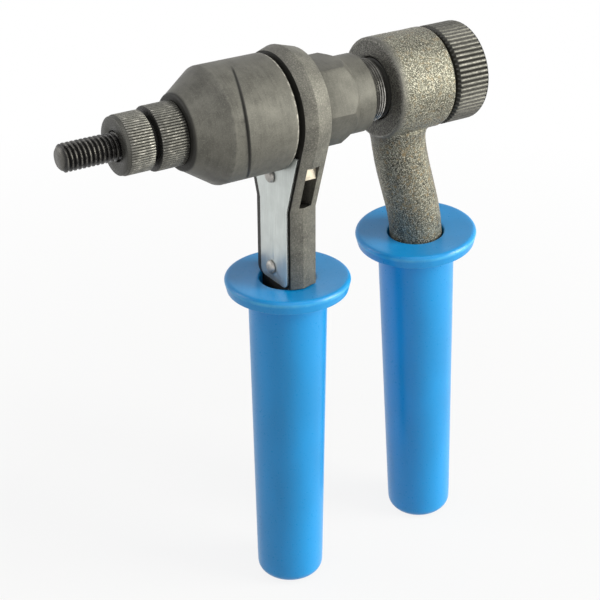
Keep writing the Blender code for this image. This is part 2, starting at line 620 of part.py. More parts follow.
def make_knob(parent, look, screw_look):
    """A drum with rounded flutes, a hexagonal socket and a recess for its screw."""
    rounding = arc((KNOB_REAR - KNOB_REAR_ROUND, KNOB_R - KNOB_REAR_ROUND), KNOB_REAR_ROUND, 90,
                   degrees(KNOB_REAR_EDGE_ANGLE), 2)
    profile = [(KNOB_FRONT, 0), (KNOB_FRONT, KNOB_R)]
    profile += rounding + [(KNOB_REAR, 0)]
    bm = spin_profile(profile, KNOB_STEPS)
    step = 2 * pi / KNOB_STEPS
    limit = KNOB_R - KNOB_REAR_ROUND / 2
    for v in bm.verts:
        r = hypot(v.co.y, v.co.z)
        if r > limit and round(atan2(v.co.z, v.co.y) / step) % KNOB_STEPS_PER_FLUTE == 0:
            v.co.yz *= (r - FLUTE_DEPTH) / r
    knob = finish(bm, "control_knob", parent, look, sharp=50.0)
    stub_end = MANDREL_HEAD_REAR + DRIVE_HEX_LENGTH
    cut(knob, turned("knob_socket", bar(KNOB_FRONT - PROUD, stub_end + FIT, DRIVE_HEX_R + 2 * FIT),
                     parent, None, 6))
    recess = KNOB_REAR - KNOB_RECESS_DEPTH
    cut(knob, turned("knob_recess", bar(recess, KNOB_REAR + PROUD, KNOB_RECESS_R), parent))
    hole = KNOB_SCREW_R + FIT
    cut(knob, turned("knob_hole", bar(stub_end - PROUD, recess + PROUD, hole), parent, None, SMALL_STEPS))
    washer_rear = recess + FIT + WASHER_THICKNESS
    turned("knob_washer", tube(recess + FIT, washer_rear, hole, KNOB_WASHER_R), parent, screw_look,
           SMALL_STEPS)
    head = washer_rear + FIT
    screw_front = stub_end - KNOB_SCREW_GRIP
    profile = [(screw_front, 0), (screw_front, KNOB_SCREW_R), (head, KNOB_SCREW_R),
               (head, KNOB_SCREW_HEAD_R), (head + KNOB_SCREW_HEAD_LENGTH, KNOB_SCREW_HEAD_R),
               (head + KNOB_SCREW_HEAD_LENGTH, 0)]
    screw = turned("knob_screw", profile, parent, screw_look, SMALL_STEPS)
    top = head + KNOB_SCREW_HEAD_LENGTH
    cut(screw, turned("screw_socket", bar(head + PROUD / 2, top + PROUD, KNOB_SCREW_R), parent, None, 6))


def arm_centre(drop):
    """Middle of the arm at a drop below the axis: an S-bend from the head onto the handle's line."""
    line = REAR_HANDLE_X + drop * tan(REAR_LEAN)
    start = (HEAD_FRONT + HEAD_REAR) / 2
    t = min(1.0, max(0.0, (drop - ARM_BEND_TOP) / (ARM_BEND_BOTTOM - ARM_BEND_TOP)))
    return Vector((start + (line - start) * t * t * (3 - 2 * t), 0, -drop))


def swept_arm(name, parent, steps):
    """A round bar along the arm's centre line, thinner inside the grip."""
    root = HEAD_R
    mouth = REAR_GRIP_DROP + MOUTH_DEPTH - PROUD
    stations = [(ARM_START, ARM_R), (root - ARM_FILLET, ARM_R + ARM_ROOT_FLARE),
                (root, ARM_R + ARM_ROOT_FLARE * 0.5), (root + ARM_FILLET, ARM_R + ARM_ROOT_FLARE * 0.1)]
    bends = 7
    first = root + 2.5 * ARM_FILLET
    stations += [(first + (ARM_BEND_BOTTOM - first) * i / bends, ARM_R) for i in range(bends + 1)]
    stations += [(mouth, ARM_R), (mouth + PROUD / 2, TANG_R), (REAR_TANG_END * cos(REAR_LEAN), TANG_R)]
    bm = bmesh.new()
    rings = []
    for drop, radius in stations:
        middle = arm_centre(drop)
        along = (arm_centre(drop + MM) - arm_centre(drop - MM)).normalized()
        side = Vector((0, 1, 0))
        front = side.cross(along)
        rings.append([bm.verts.new(middle + radius * (cos(a) * side + sin(a) * front))
                      for a in (2 * pi * i / steps for i in range(steps))])
    for upper, lower in zip(rings, rings[1:]):
        for i in range(steps):
            j = (i + 1) % steps
            bm.faces.new((upper[i], upper[j], lower[j], lower[i]))
    bm.faces.new(rings[0])
    bm.faces.new(reversed(rings[-1]))
    return finish(bm, name, parent)


def make_rear_head(parent, look):
    front = arc((HEAD_FRONT + HEAD_ROUND, HEAD_R - HEAD_ROUND), HEAD_ROUND, 180, 90, 4)
    rear = arc((HEAD_REAR - HEAD_ROUND / 2, HEAD_R - HEAD_ROUND / 2), HEAD_ROUND / 2, 90, 0, 2)
    head = turned("rear_head", [(HEAD_FRONT, 0)] + front + rear + [(HEAD_REAR, 0)], parent, look)
    join(head, swept_arm("arm", parent, ARM_STEPS))
    neck_hole = NECK_R + FIT
    profile = [(HEAD_FRONT - PROUD, 0), (HEAD_FRONT - PROUD, neck_hole), (NECK_END + FIT, neck_hole),
               (NECK_END + FIT, SPINDLE_HOLE_R), (HEAD_REAR + PROUD, SPINDLE_HOLE_R),
               (HEAD_REAR + PROUD, 0)]
    cut(head, turned("head_bore", profile, parent))


def dish_depth(radius, mouth_r):
    """Depth of a flange's dished top at a radius."""
    start = FLANGE_R - FLANGE_TOP_ROUND
    return FLANGE_DISH * (start - radius) / (start - mouth_r - PROUD)


def make_grip(name, parent, look, drop, length, mouth_r):
    """A blind moulded sleeve with a rounded flange at its top."""
    top = -drop
    end = -drop - length
    end_r = grip_end_radius(length)
    under = top - FLANGE_THICKNESS
    edge_r = FLANGE_R - FLANGE_UNDERCUT
    profile = [(end, 0)]
    corner = arc((end + GRIP_END_ROUND, end_r - GRIP_END_ROUND), GRIP_END_ROUND, 180, 90, 3)
    profile += corner
    fillet = arc((under - GRIP_FILLET, GRIP_R + GRIP_FILLET), GRIP_FILLET, 270, 360, 2)
    profile += fillet
    profile += [(under, edge_r - FLANGE_EDGE), (under + FLANGE_EDGE, edge_r)]
    profile += arc((top - FLANGE_TOP_ROUND, FLANGE_R - FLANGE_TOP_ROUND), FLANGE_TOP_ROUND, 90, 0, 4)
    profile += [(top - FLANGE_DISH, mouth_r + PROUD), (top - FLANGE_DISH - PROUD / 2, mouth_r),
                (top - MOUTH_DEPTH, mouth_r), (top - MOUTH_DEPTH - PROUD, TANG_BORE_R),
                (end + GRIP_END_WALL, TANG_BORE_R), (end + GRIP_END_WALL, 0)]
    return turned(name, profile, parent, look, GRIP_STEPS, upright=True)


def ring_tangent(radius, half_width):
    """Angle on the lever's ring from which a straight side runs down to the shank's knee."""
    return atan2(-KNEE_DROP, half_width) + acos(radius / hypot(half_width, KNEE_DROP))


def flank(inset, drop):
    """Half width of the lever between its ring and its knee, at a drop below the axis."""
    radius = LEVER_RING_R - inset
    half = SHANK_HALF_WIDTH - inset
    tangent = ring_tangent(radius, half)
    slope = (radius * cos(tangent) - half) / (KNEE_DROP + radius * sin(tangent))
    return half + slope * (KNEE_DROP - drop)


def pocket_outline():
    """The pawl's pocket: straight sides, and a lower left side that keeps the flank's wall."""
    inset = LEVER_FRONT_DRAFT + POCKET_WALL
    knee = flank(inset, KNEE_DROP)
    slope = (flank(inset, 0) - knee) / KNEE_DROP
    meet = KNEE_DROP - (POCKET_LEFT - knee) / slope
    return [(POCKET_RIGHT, -POCKET_TOP), (-POCKET_LEFT, -POCKET_TOP), (-POCKET_LEFT, -meet),
            (-knee, -KNEE_DROP), (-knee, -POCKET_BOTTOM), (POCKET_RIGHT, -POCKET_BOTTOM)]


def lever_outline(inset, bottom):
    """The lever's outline in (y, z): ring, straight flanks, knees and shank."""
    radius = LEVER_RING_R - inset
    half = SHANK_HALF_WIDTH - inset
    start = degrees(ring_tangent(radius, half))
    points = arc((0, 0), radius, start, 180 - start, 30)
    return points + [(-half, -KNEE_DROP), (-half, -bottom), (half, -bottom), (half, -KNEE_DROP)]


def make_lever(parent, look):
    corner_r = hypot(SHANK_HALF_WIDTH, (LEVER_REAR - LEVER_FRONT) / 2)
    bottom = FRONT_GRIP_DROP + dish_depth(corner_r, FRONT_MOUTH_R) - FIT
    bm = bmesh.new()
    sections = []
    for x, inset in ((LEVER_FRONT, LEVER_FRONT_DRAFT), (LEVER_RIDGE, 0.0), (LEVER_REAR, LEVER_REAR_DRAFT)):
        sections.append([bm.verts.new((x, y, z)) for y, z in lever_outline(inset, bottom)])
    for a, b in zip(sections, sections[1:]):
        for i in range(len(a)):
            j = (i + 1) % len(a)
            bm.faces.new((a[i], a[j], b[j], b[i]))
    bm.faces.new(sections[0])
    bm.faces.new(reversed(sections[-1]))
    lever = finish(bm, "ratchet_lever", parent, look, sharp=25.0)
    middle = (LEVER_FRONT + LEVER_REAR) / 2
    neck_end = FRONT_GRIP_DROP + SHANK_IN_GRIP
    join(lever, block("shank_neck", LEVER_FRONT, LEVER_REAR, -SHANK_NECK_HALF_WIDTH,
                      SHANK_NECK_HALF_WIDTH, -neck_end, -bottom + PROUD, parent))
    tang = turned("lever_tang", bar(-FRONT_TANG_END, -neck_end + PROUD, TANG_R), parent, None,
                  INNER_STEPS, True)
    tang.location.x = middle
    join(lever, tang)
    cut(lever, turned("ring_bore", bar(LEVER_FRONT - PROUD, LEVER_REAR + PROUD, RING_BORE_R), parent))
    cut(lever, prism("pawl_pocket", pocket_outline(), LEVER_FRONT - PROUD,
                     LEVER_FRONT + PAWL_POCKET_DEPTH, parent))
    window = LEVER_FRONT + WINDOW_BEHIND_FRONT
    cut(lever, block("side_window", window, window + WINDOW_WIDTH, -LEVER_RING_R, 0, -WINDOW_BOTTOM,
                     -WINDOW_TOP, parent))
    for name, drop in (("pivot_hole", PIVOT_DROP), ("rivet_hole", LOWER_RIVET_DROP)):
        hole = turned(name, bar(LEVER_FRONT - PROUD, LEVER_REAR + PROUD, RIVET_HOLE_R), parent, None,
                      SMALL_STEPS)
        hole.location.z = -drop
        cut(lever, hole)
    return lever


def plate_outline():
    """The cover plate: the lever's outline set in, cut round the body tube and at the grip."""
    inset = LEVER_FRONT_DRAFT + PLATE_INSET
    half = SHANK_HALF_WIDTH - inset
    bottom = FRONT_GRIP_DROP + PLATE_ABOVE_GRIP
    corner = PLATE_CORNER
    collar = RING_BORE_R + FIT
    wide = flank(inset, PLATE_TOP)
    inner = (collar ** 2 - PLATE_TOP ** 2) ** 0.5
    meet = degrees(atan2(-PLATE_TOP, inner))
    points = [(wide, -PLATE_TOP), (inner, -PLATE_TOP)]
    points += arc((0, 0), collar, meet, -180 - meet, 10)[1:-1]
    points += [(-inner, -PLATE_TOP), (-wide, -PLATE_TOP), (-half, -KNEE_DROP)]
    points += arc((-half + corner, -bottom + corner), corner, 180, 270, 4)
    points += arc((half - corner, -bottom + corner), corner, 270, 360, 4)
    return points + [(half, -KNEE_DROP)]


def make_plate(parent, look):
    plate = prism("cover_plate", plate_outline(), PLATE_FRONT, PLATE_FRONT + PLATE_THICKNESS, parent, look)
    for name, drop in (("plate_pivot_hole", PIVOT_DROP), ("plate_rivet_hole", LOWER_RIVET_DROP)):
        hole = turned(name, bar(PLATE_FRONT - PROUD, LEVER_FRONT, RIVET_HOLE_R), parent, None, SMALL_STEPS)
        hole.location.z = -drop
        cut(plate, hole)


def make_rivet(name, drop, parent, look):
    """A rivet with a domed head on the plate and a flush tail in the casting."""
    seat = PLATE_FRONT - FIT
    dome = [(seat - RIVET_HEAD_HEIGHT * cos(a), RIVET_HEAD_R * sin(a) ** 0.6)
            for a in (radians(t) for t in (0, 22, 45, 68, 90))]
    profile = dome + [(seat, RIVET_R), (LEVER_REAR - FIT, RIVET_R), (LEVER_REAR - FIT, 0)]
    rivet = turned(name, profile, parent, look, SMALL_STEPS)
    rivet.location.z = -drop
    return rivet


def polar(radius, angle):
    """A (y, z) point at an angle measured from straight down towards -Y."""
    return (-radius * sin(angle), -radius * cos(angle))


def make_pawl(parent, look):
    """A rocking pawl: a tip in the nut's teeth and a heel that fills the window's top."""
    tip_r = NUT_ROOT_R + PAWL_TIP_GAP
    tip = polar(tip_r, PAWL_TIP_ANGLE)
    face = polar(BODY_TUBE_R, PAWL_TIP_ANGLE)
    back = polar(NUT_TIP_R + PROUD, PAWL_TIP_ANGLE - PAWL_NOSE_ANGLE)
    heel_top = -WINDOW_TOP - FIT
    heel_bottom = heel_top - HEEL_DEPTH
    hub = arc((0, -PIVOT_DROP), PAWL_HUB_R, 180 + degrees(HUB_HEEL_ANGLE), 360 + degrees(HUB_NOSE_ANGLE), 8)
    outline = [tip, face, (face[0] - PROUD / 2, heel_top + PROUD), (-POCKET_LEFT + PROUD, heel_top),
               (-HEEL_REACH + PROUD / 2, heel_top), (-HEEL_REACH, heel_top - PROUD / 2),
               (-HEEL_REACH, heel_bottom)] + hub + [back]
    drop = Vector((0, -PIVOT_DROP))
    moved = [tuple(Vector(p) - drop) for p in outline]
    x0 = PAWL_MIDDLE - PAWL_THICKNESS / 2
    pawl = prism("pawl", moved, x0, x0 + PAWL_THICKNESS, parent, look)
    cut(pawl, turned("pawl_hole", bar(x0 - PROUD, x0 + PAWL_THICKNESS + PROUD, RIVET_HOLE_R), parent, None,
                     SMALL_STEPS))


def make_spring(parent, look):
    """A compression spring on the pocket's floor, under the pawl's heel."""
    floor = -POCKET_BOTTOM + FIT + SPRING_WIRE_R
    heel_bottom = -WINDOW_TOP - FIT - HEEL_DEPTH
    hub_side = -PIVOT_DROP - PAWL_HUB_R * sin(HUB_HEEL_ANGLE)
    hub_edge = PAWL_HUB_R * cos(HUB_HEEL_ANGLE)
    near = SPRING_OFFSET - SPRING_R
    slope = (heel_bottom - hub_side) / (HEEL_REACH - hub_edge)
    under = hub_side + slope * (near - hub_edge)
    top = under - FIT - SPRING_WIRE_R - SPRING_CLEAR
    curve = bpy.data.curves.new("pawl_spring", 'CURVE')
    curve.dimensions = '3D'
    curve.bevel_depth = SPRING_WIRE_R
    curve.bevel_resolution = 0
    curve.use_fill_caps = True
    spline = curve.splines.new('POLY')
    per_turn = 8
    count = SPRING_TURNS * per_turn
    spline.points.add(count)
    for i, point in enumerate(spline.points):
        angle = 2 * pi * i / per_turn
        rise = floor + (top - floor) * i / count
        point.co = (PAWL_MIDDLE + SPRING_R * cos(angle), -SPRING_OFFSET + SPRING_R * sin(angle), rise, 1)
    curve.materials.append(look)
    spring = bpy.data.objects.new("pawl_spring", curve)
    bpy.context.collection.objects.link(spring)
    spring.parent = parent


def build():
    clear_scene()
    phosphate = material("phosphated_steel", (0.11, 0.11, 0.10), 0.62, 0.45)
    black = material("blackened_steel", (0.03, 0.03, 0.03), 0.45, 0.6)
    knurl = material("knurled_steel", (0.09, 0.09, 0.08), 0.4, 0.7)
    cast = material("rough_cast_steel", (0.17, 0.16, 0.14), 0.7, 0.4)
    zinc = material("zinc_plate", (0.62, 0.65, 0.66), 0.3, 0.85)
    bright = material("bright_steel", (0.6, 0.58, 0.54), 0.3, 0.9)
    blue = material("blue_moulding", (0.02, 0.22, 0.65), 0.35, 0.0)
    brass = material("brass_cage", (0.6, 0.45, 0.2), 0.4, 0.8)

    axis = empty("tool_axis", None, (AXIS_X, AXIS_Y, AXIS_HEIGHT))
    lever_pivot = empty("lever_pivot", axis, (0, 0, 0), (LEVER_TILT, 0, 0))
    pawl_pivot = empty("pawl_pivot", lever_pivot, (0, 0, -PIVOT_DROP))
    lever_line = empty("lever_line", lever_pivot, ((LEVER_FRONT + LEVER_REAR) / 2, 0, 0))
    rear_line = empty("rear_line", axis, (REAR_HANDLE_X, 0, 0), (0, -REAR_LEAN, 0))

    make_anvil(axis, knurl)
    make_lock_ring(axis, knurl)
    make_nose(axis, phosphate)
    make_main_body(axis, phosphate)
    make_bearing(axis, bright, brass)
    make_drive_nut(axis, black)
    make_spindle(axis, black, bright)
    make_mandrel(axis, black)
    make_knob(axis, knurl, bright)
    make_rear_head(axis, cast)
    make_grip("rear_grip", rear_line, blue, REAR_GRIP_DROP, REAR_GRIP_LENGTH, REAR_MOUTH_R)
    turned("lever_washer", tube(WASHER_FRONT, WASHER_FRONT + WASHER_THICKNESS, RING_BORE_R, LEVER_WASHER_R),
           axis, black)
    make_lever(lever_pivot, phosphate)
    make_plate(lever_pivot, zinc)
    make_rivet("upper_rivet", PIVOT_DROP, lever_pivot, bright)
    make_rivet("lower_rivet", LOWER_RIVET_DROP, lever_pivot, bright)
    make_grip("front_grip", lever_line, blue, FRONT_GRIP_DROP, FRONT_GRIP_LENGTH, FRONT_MOUTH_R)
    make_pawl(pawl_pivot, bright)
    make_spring(lever_pivot, bright)
    settle()


build()
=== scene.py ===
"""Finished look of a two-handed ratchet setter for rivet nuts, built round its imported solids.

Each operator makes one piece or one group of like pieces, and the last one makes the studio.
The tool's own lengths run along +X from the anvil's front face. The handles hang below the axis.
"""

import json
from math import atan2, ceil, cos, hypot, pi, radians, sin

import bmesh
import bpy
from bpy.props import FloatProperty, FloatVectorProperty, IntProperty, PointerProperty
from bpy.types import NodeSocket, Operator, Panel, PropertyGroup
from mathutils import Matrix, Vector, noise


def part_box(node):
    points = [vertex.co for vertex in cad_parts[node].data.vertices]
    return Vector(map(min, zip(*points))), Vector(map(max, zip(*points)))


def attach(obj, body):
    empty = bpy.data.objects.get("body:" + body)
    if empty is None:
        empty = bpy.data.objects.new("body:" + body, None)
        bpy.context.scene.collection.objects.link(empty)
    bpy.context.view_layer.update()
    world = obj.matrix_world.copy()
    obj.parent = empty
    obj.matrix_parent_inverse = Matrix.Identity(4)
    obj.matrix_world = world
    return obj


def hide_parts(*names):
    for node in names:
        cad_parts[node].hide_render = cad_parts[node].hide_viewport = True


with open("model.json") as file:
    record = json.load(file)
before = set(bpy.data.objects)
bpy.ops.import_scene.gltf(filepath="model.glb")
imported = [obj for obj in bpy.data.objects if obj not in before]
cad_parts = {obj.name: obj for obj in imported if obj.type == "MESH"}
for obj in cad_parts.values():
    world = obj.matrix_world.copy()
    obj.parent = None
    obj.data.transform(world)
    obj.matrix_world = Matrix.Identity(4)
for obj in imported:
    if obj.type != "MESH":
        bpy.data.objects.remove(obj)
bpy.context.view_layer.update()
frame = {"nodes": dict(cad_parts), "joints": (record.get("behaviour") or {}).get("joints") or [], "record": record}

bl_info = {
    "name": "Rivet nut tool",
    "version": (1, 0, 0),
    "blender": (4, 5, 0),
    "location": "3D View > Sidebar > Rivet nut tool",
    "description": "Pieces, finishes and studio for a hand setter for rivet nuts",
    "category": "Object",
}

MM = 0.001

JOINTS = {joint["name"]: joint for joint in frame["joints"]}
MOUNTS = {mount["name"]: mount for mount in frame["record"]["mounts"]}
AXIS_Y, AXIS_Z = JOINTS["lever_swing"]["pos_m"][1:]
FRONT_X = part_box("anvil")[0].x


def node_span(node):
    """First and last station of a node along the tool's axis."""
    low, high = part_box(node)
    return low.x - FRONT_X, high.x - FRONT_X


ANVIL_END = 10.0 * MM
RING_START, RING_END = node_span("lock_ring")
NOSE_START, NOSE_END = node_span("nose_housing")
LEVER_START = node_span("ratchet_lever")[0]
HEAD_START = node_span("rear_head")[0]
KNOB_START, KNOB_END = node_span("control_knob")
MANDREL_START, MANDREL_END = node_span("mandrel")

SHANK_FIT = 0.3 * MM
STEPS_PER_RIB = 6
STEPS_PER_FLUTE = 8

FLOOR_R = 6.0
FLOOR_DROP = 0.2 * MM
AIM_HEIGHT = 110 * MM

# Name, degrees right of the camera, degrees up, distance, width and height in metres, and watts
LAMPS = (("lamp_right", 82, 20, 1.0, 0.50, 0.8, 16.0),
         ("lamp_left", -95, 24, 1.1, 0.6, 0.8, 3.6),
         ("lamp_top", 10, 78, 1.1, 0.8, 0.8, 3.6),
         ("lamp_front", 5, 22, 1.3, 0.9, 0.7, 2.2))

FRONT_DOWN = Vector(MOUNTS["front_foot"]["axis"])
REAR_DOWN = Vector(MOUNTS["rear_foot"]["axis"])
LEVER_TILT = atan2(FRONT_DOWN.y, -FRONT_DOWN.z)
REAR_LEAN = atan2(REAR_DOWN.x, -REAR_DOWN.z)

TOOL = Matrix.Translation((FRONT_X, AXIS_Y, AXIS_Z))
LEVER = TOOL @ Matrix.Rotation(LEVER_TILT, 4, 'X')
FRONT_HANDLE = (Matrix.Translation(MOUNTS["front_foot"]["pos_m"])
                @ Matrix.Rotation(LEVER_TILT, 4, 'X'))
REAR_HANDLE = Matrix.Translation(MOUNTS["rear_foot"]["pos_m"]) @ Matrix.Rotation(-REAR_LEAN, 4, 'Y')


def size(name, text, millimetres):
    return FloatProperty(name=name, description=text, default=millimetres * MM, min=0.0,
                         unit='LENGTH', precision=5)


def angle(name, text, degrees):
    return FloatProperty(name=name, description=text, default=radians(degrees), subtype='ANGLE')


def share(name, text, default):
    return FloatProperty(name=name, description=text, default=default, min=0.0, max=1.0,
                         subtype='FACTOR')


def number(name, text, default):
    return IntProperty(name=name, description=text, default=default, min=3)


def colour(name, text, *rgb):
    return FloatVectorProperty(name=name, description=text, default=rgb, subtype='COLOR',
                               min=0.0, max=1.0)


class RivetToolNose(PropertyGroup):
    """Sizes of the mandrel, the anvil, its lock ring and the nose housing."""
    thread_r: size("Thread radius", "Radius over the mandrel's thread crests", 4.7625)
    thread_pitch: size("Thread pitch", "Advance of the mandrel's thread in one turn", 1.5875)
    thread_depth: size("Thread depth", "Height of the thread from root to crest", 0.93)
    thread_length: size("Thread length", "Length of the mandrel that is threaded", 44.0)
    rod_r: size("Rod radius", "Radius of the mandrel behind its thread", 4.55)
    tip_chamfer: size("Tip chamfer", "Loss of radius at the mandrel's tip", 1.5)
    tip_slope: FloatProperty(name="Tip slope", description="Slope of the mandrel's tip", default=1.15)
    anvil_r: size("Anvil radius", "Radius over the anvil's ribs", 10.12)
    anvil_ribs: number("Anvil ribs", "Ribs round the anvil", 66)
    anvil_shank_r: size("Anvil shank radius", "Radius of the shank behind the anvil", 7.5)
    anvil_bore_r: size("Anvil bore radius", "Radius of the hole for the mandrel", 5.06)
    ring_r: size("Lock ring radius", "Radius over the lock ring's ribs", 10.95)
    ring_ribs: number("Lock ring ribs", "Ribs round the lock ring", 70)
    rib_depth: size("Rib depth", "Depth of the valleys between the ribs", 0.34)
    rib_chamfer: size("Rib chamfer", "Chamfer at the ends of the ribs", 0.2)
    plain_band: size("Plain band", "Length without ribs at the anvil's front", 1.15)
    nose_r: size("Nose radius", "Radius of the nose housing's barrel", 20.24)
    nose_rim_r: size("Nose rim radius", "Radius at the nose housing's front", 13.25)
    cone_length: size("Cone length", "Length of the nose housing's cone", 11.72)
    pad_rise: size("Pad rise", "Height of the raised pad over the barrel", 0.85)
    pad_start: size("Pad start", "Distance from the cone to the pad's front wall", 4.1)
    pad_wall: size("Pad wall", "Length over which the pad's front wall rises", 0.5)
    pad_bow: size("Pad bow", "Set-back of the pad's front wall round the barrel", 6.8)
    pad_middle: angle("Pad middle", "Height of the pad's middle above the side", 15.0)
    pad_half: angle("Pad half angle", "Angle from the pad's middle to its edge", 68.0)


class RivetToolHandles(PropertyGroup):
    """Sizes of the grips, their flanges and the control knob."""
    flange_r: size("Flange radius", "Radius of each grip's flange", 22.8)
    flange_thickness: size("Flange thickness", "Thickness of each flange", 5.0)
    flange_top_round: size("Flange top round", "Rounding of each flange's top edge", 1.5)
    flange_undercut: size("Flange undercut", "Loss of radius down each flange's side", 0.75)
    flange_edge: size("Flange edge", "Rounding of each flange's lower edge", 0.3)
    flange_dish: size("Flange dish", "Depth of the dished top of a flange", 0.85)
    grip_r: size("Grip radius", "Radius of each grip under its flange", 14.4)
    grip_taper: share("Grip taper", "Loss of radius along each grip", 0.0149)
    grip_fillet: size("Grip fillet", "Fillet under each flange", 2.2)
    grip_end_round: size("End round", "Rounding at each grip's end", 4.0)
    front_length: size("Front grip length", "Length of the ratchet lever's grip", 127.705)
    rear_length: size("Rear grip length", "Length of the fixed handle's grip", 130.294)
    front_mouth_r: size("Front mouth", "Radius of the front grip's mouth", 10.1)
    rear_mouth_r: size("Rear mouth", "Radius of the rear grip's mouth", 10.5)
    mouth_round: size("Mouth round", "Rounding of each mouth's edge", 0.8)
    mouth_depth: size("Mouth depth", "Depth of each grip's mouth", 15.0)
    tang_bore_r: size("Tang bore", "Radius of the bore for each tang", 8.3)
    end_wall: size("End wall", "Thickness of each grip's closed end", 6.0)
    knob_r: size("Knob radius", "Radius over the knob's flutes", 17.9)
    knob_flutes: number("Knob flutes", "Flutes round the knob", 62)
    flute_depth: size("Flute depth", "Depth of the knob's flutes", 0.6)
    flute_end: size("Flute end", "Length without flutes at the knob's rear", 0.95)
    front_bevel: size("Front bevel", "Bevel at the knob's front", 0.8)
    knob_round: size("Knob round", "Rounding at the knob's rear edge", 1.66)


class RivetToolMetal(PropertyGroup):
    """Sizes of what is machined or cast between the handles."""
    edge: size("Edge break", "Rounding of the machined and cast edges", 0.22)
    fine_edge: size("Fine edge break", "Rounding of the plate's edges", 0.12)
    neck_r: size("Neck radius", "Radius of the main body's neck", 10.9)
    neck_crest: size("Neck thread height", "Height of the neck's thread", 0.32)
    neck_pitch: size("Neck pitch", "Pitch of the neck's thread", 0.96)
    neck_thread: size("Neck thread length", "Length of the neck's thread that shows", 3.75)
    neck_relief: size("Neck relief", "Groove between the neck's thread and the head", 1.7)
    head_edge_r: size("Head edge radius", "Radius of the bright edge on the head's front", 17.25)
    casting_cell: size("Casting cell", "Facet size of the rough casting", 0.42)
    casting_grit: size("Casting grit", "Height of the shot-blasted grit", 0.13)
    smooth_band: size("Smooth band", "Less rough band behind the head's front", 2.6)
    left_land: size("Left land", "Casting that shows beside the plate on its far side", 2.3)
    land_drop: size("Land drop", "Height of the plate's face over the casting beside it", 0.12)
    rivet_r: size("Rivet radius", "Radius of the rivets' shanks", 1.5)
    rivet_head_r: size("Rivet head radius", "Radius of the rivets' heads", 2.5)
    rivet_dome: size("Rivet dome", "Height of the rivets' heads", 1.3)


class RivetToolColours(PropertyGroup):
    """Colours of the finishes."""
    phosphate: colour("Phosphate", "Matt phosphate on the nose and the body", 0.108, 0.105, 0.092)
    worn: colour("Worn steel", "Bare steel where an edge has worn", 0.50, 0.48, 0.43)
    rib_valley: colour("Rib valley", "Valleys between the ribs", 0.030, 0.029, 0.026)
    rib_crest: colour("Rib crest", "Crests of the ribs", 0.155, 0.152, 0.135)
    oxide: colour("Black oxide", "Oiled black of the mandrel", 0.020, 0.019, 0.018)
    casting: colour("Fine casting", "Ratchet lever's casting", 0.121, 0.117, 0.101)
    rough_dark: colour("Rough dark", "Low spots of the rough casting", 0.062, 0.060, 0.045)
    # Bright grains of the rough casting, partly painted glints of light.
    bright_grain_and_glint: colour("Rough light", "High spots of the rough casting", 0.44, 0.43, 0.355)
    zinc: colour("Zinc", "Zinc plate on the cover", 0.62, 0.66, 0.635)
    bright: colour("Bright steel", "Rivets, screw and hidden ground pieces", 0.58, 0.56, 0.52)
    pawl: colour("Pawl", "Ground and oiled face of the pawl's heel", 0.78, 0.70, 0.56)
    brass: colour("Brass", "Bearing cage", 0.55, 0.40, 0.17)
    grip: colour("Grip", "Blue of the moulded grips", 0.002, 0.236, 0.575)
    # Pale blue painted as a highlight along the flanges' rims.
    rim: colour("Rim", "Rubbed rims of the grips' flanges", 0.085, 0.43, 0.72)
    stage: colour("Stage", "Floor and backdrop", 0.52, 0.52, 0.52)


class RivetToolStudio(PropertyGroup):
    """Camera and lamps."""
    lens: FloatProperty(name="Focal length", description="Camera focal length in millimetres",
                        default=94.301, min=1.0)
    azimuth: angle("Azimuth", "Camera azimuth", -33.019)
    elevation: angle("Elevation", "Camera elevation", 28.447)
    roll: angle("Roll", "Camera roll", 1.092)
    shift_x: FloatProperty(name="Shift X", description="Camera shift across", default=0.00366)
    shift_y: FloatProperty(name="Shift Y", description="Camera shift up", default=-0.03108)
    place: FloatVectorProperty(name="Camera place", description="Camera place from the tool's datum",
                               default=(-0.20258, -0.42141, 0.20324), size=3, subtype='TRANSLATION')
    ambient: share("Ambient", "Strength of the light from all round", 0.28)
    warm: colour("Warm light", "Tint of the right-hand lamp", 1.0, 0.985, 0.88)


def nose():
    return bpy.context.scene.rivet_tool_nose


def handles():
    return bpy.context.scene.rivet_tool_handles


def metal():
    return bpy.context.scene.rivet_tool_metal


def colours():
    return bpy.context.scene.rivet_tool_colours


def linked(name, data):
    """A new object in the scene."""
    made = bpy.data.objects.new(name, data)
    bpy.context.scene.collection.objects.link(made)
    return made


def put(mesh, name, place, body, slot, finish, *nodes, sharp=32.0):
    """Link a finished mesh as a piece that rides on a body and stands for its nodes.

    A place that leans is turned into the mesh, so that the piece's axes stay the tool's own.
    """
    mesh.transform(place.to_3x3().to_4x4())
    mesh.shade_smooth()
    mesh.set_sharp_from_angle(angle=radians(sharp))
    piece = linked(name, mesh)
    piece.matrix_world = Matrix.Translation(place.translation)
    mesh.materials.clear()
    mesh.materials.append(finish)
    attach(piece, body)
    if nodes:
        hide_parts(*nodes)
    return piece


def arc(centre, radius, start, end, count):
    """(station, radius) points on an arc, both ends included, angles in degrees."""
    turn = [radians(start + (end - start) * i / count) for i in range(count + 1)]
    return [(centre[0] + radius * cos(a), centre[1] + radius * sin(a)) for a in turn]


def between(start, end, count):
    """Evenly spaced values after start, up to end."""
    return [start + (end - start) * (i + 1) / count for i in range(count)]


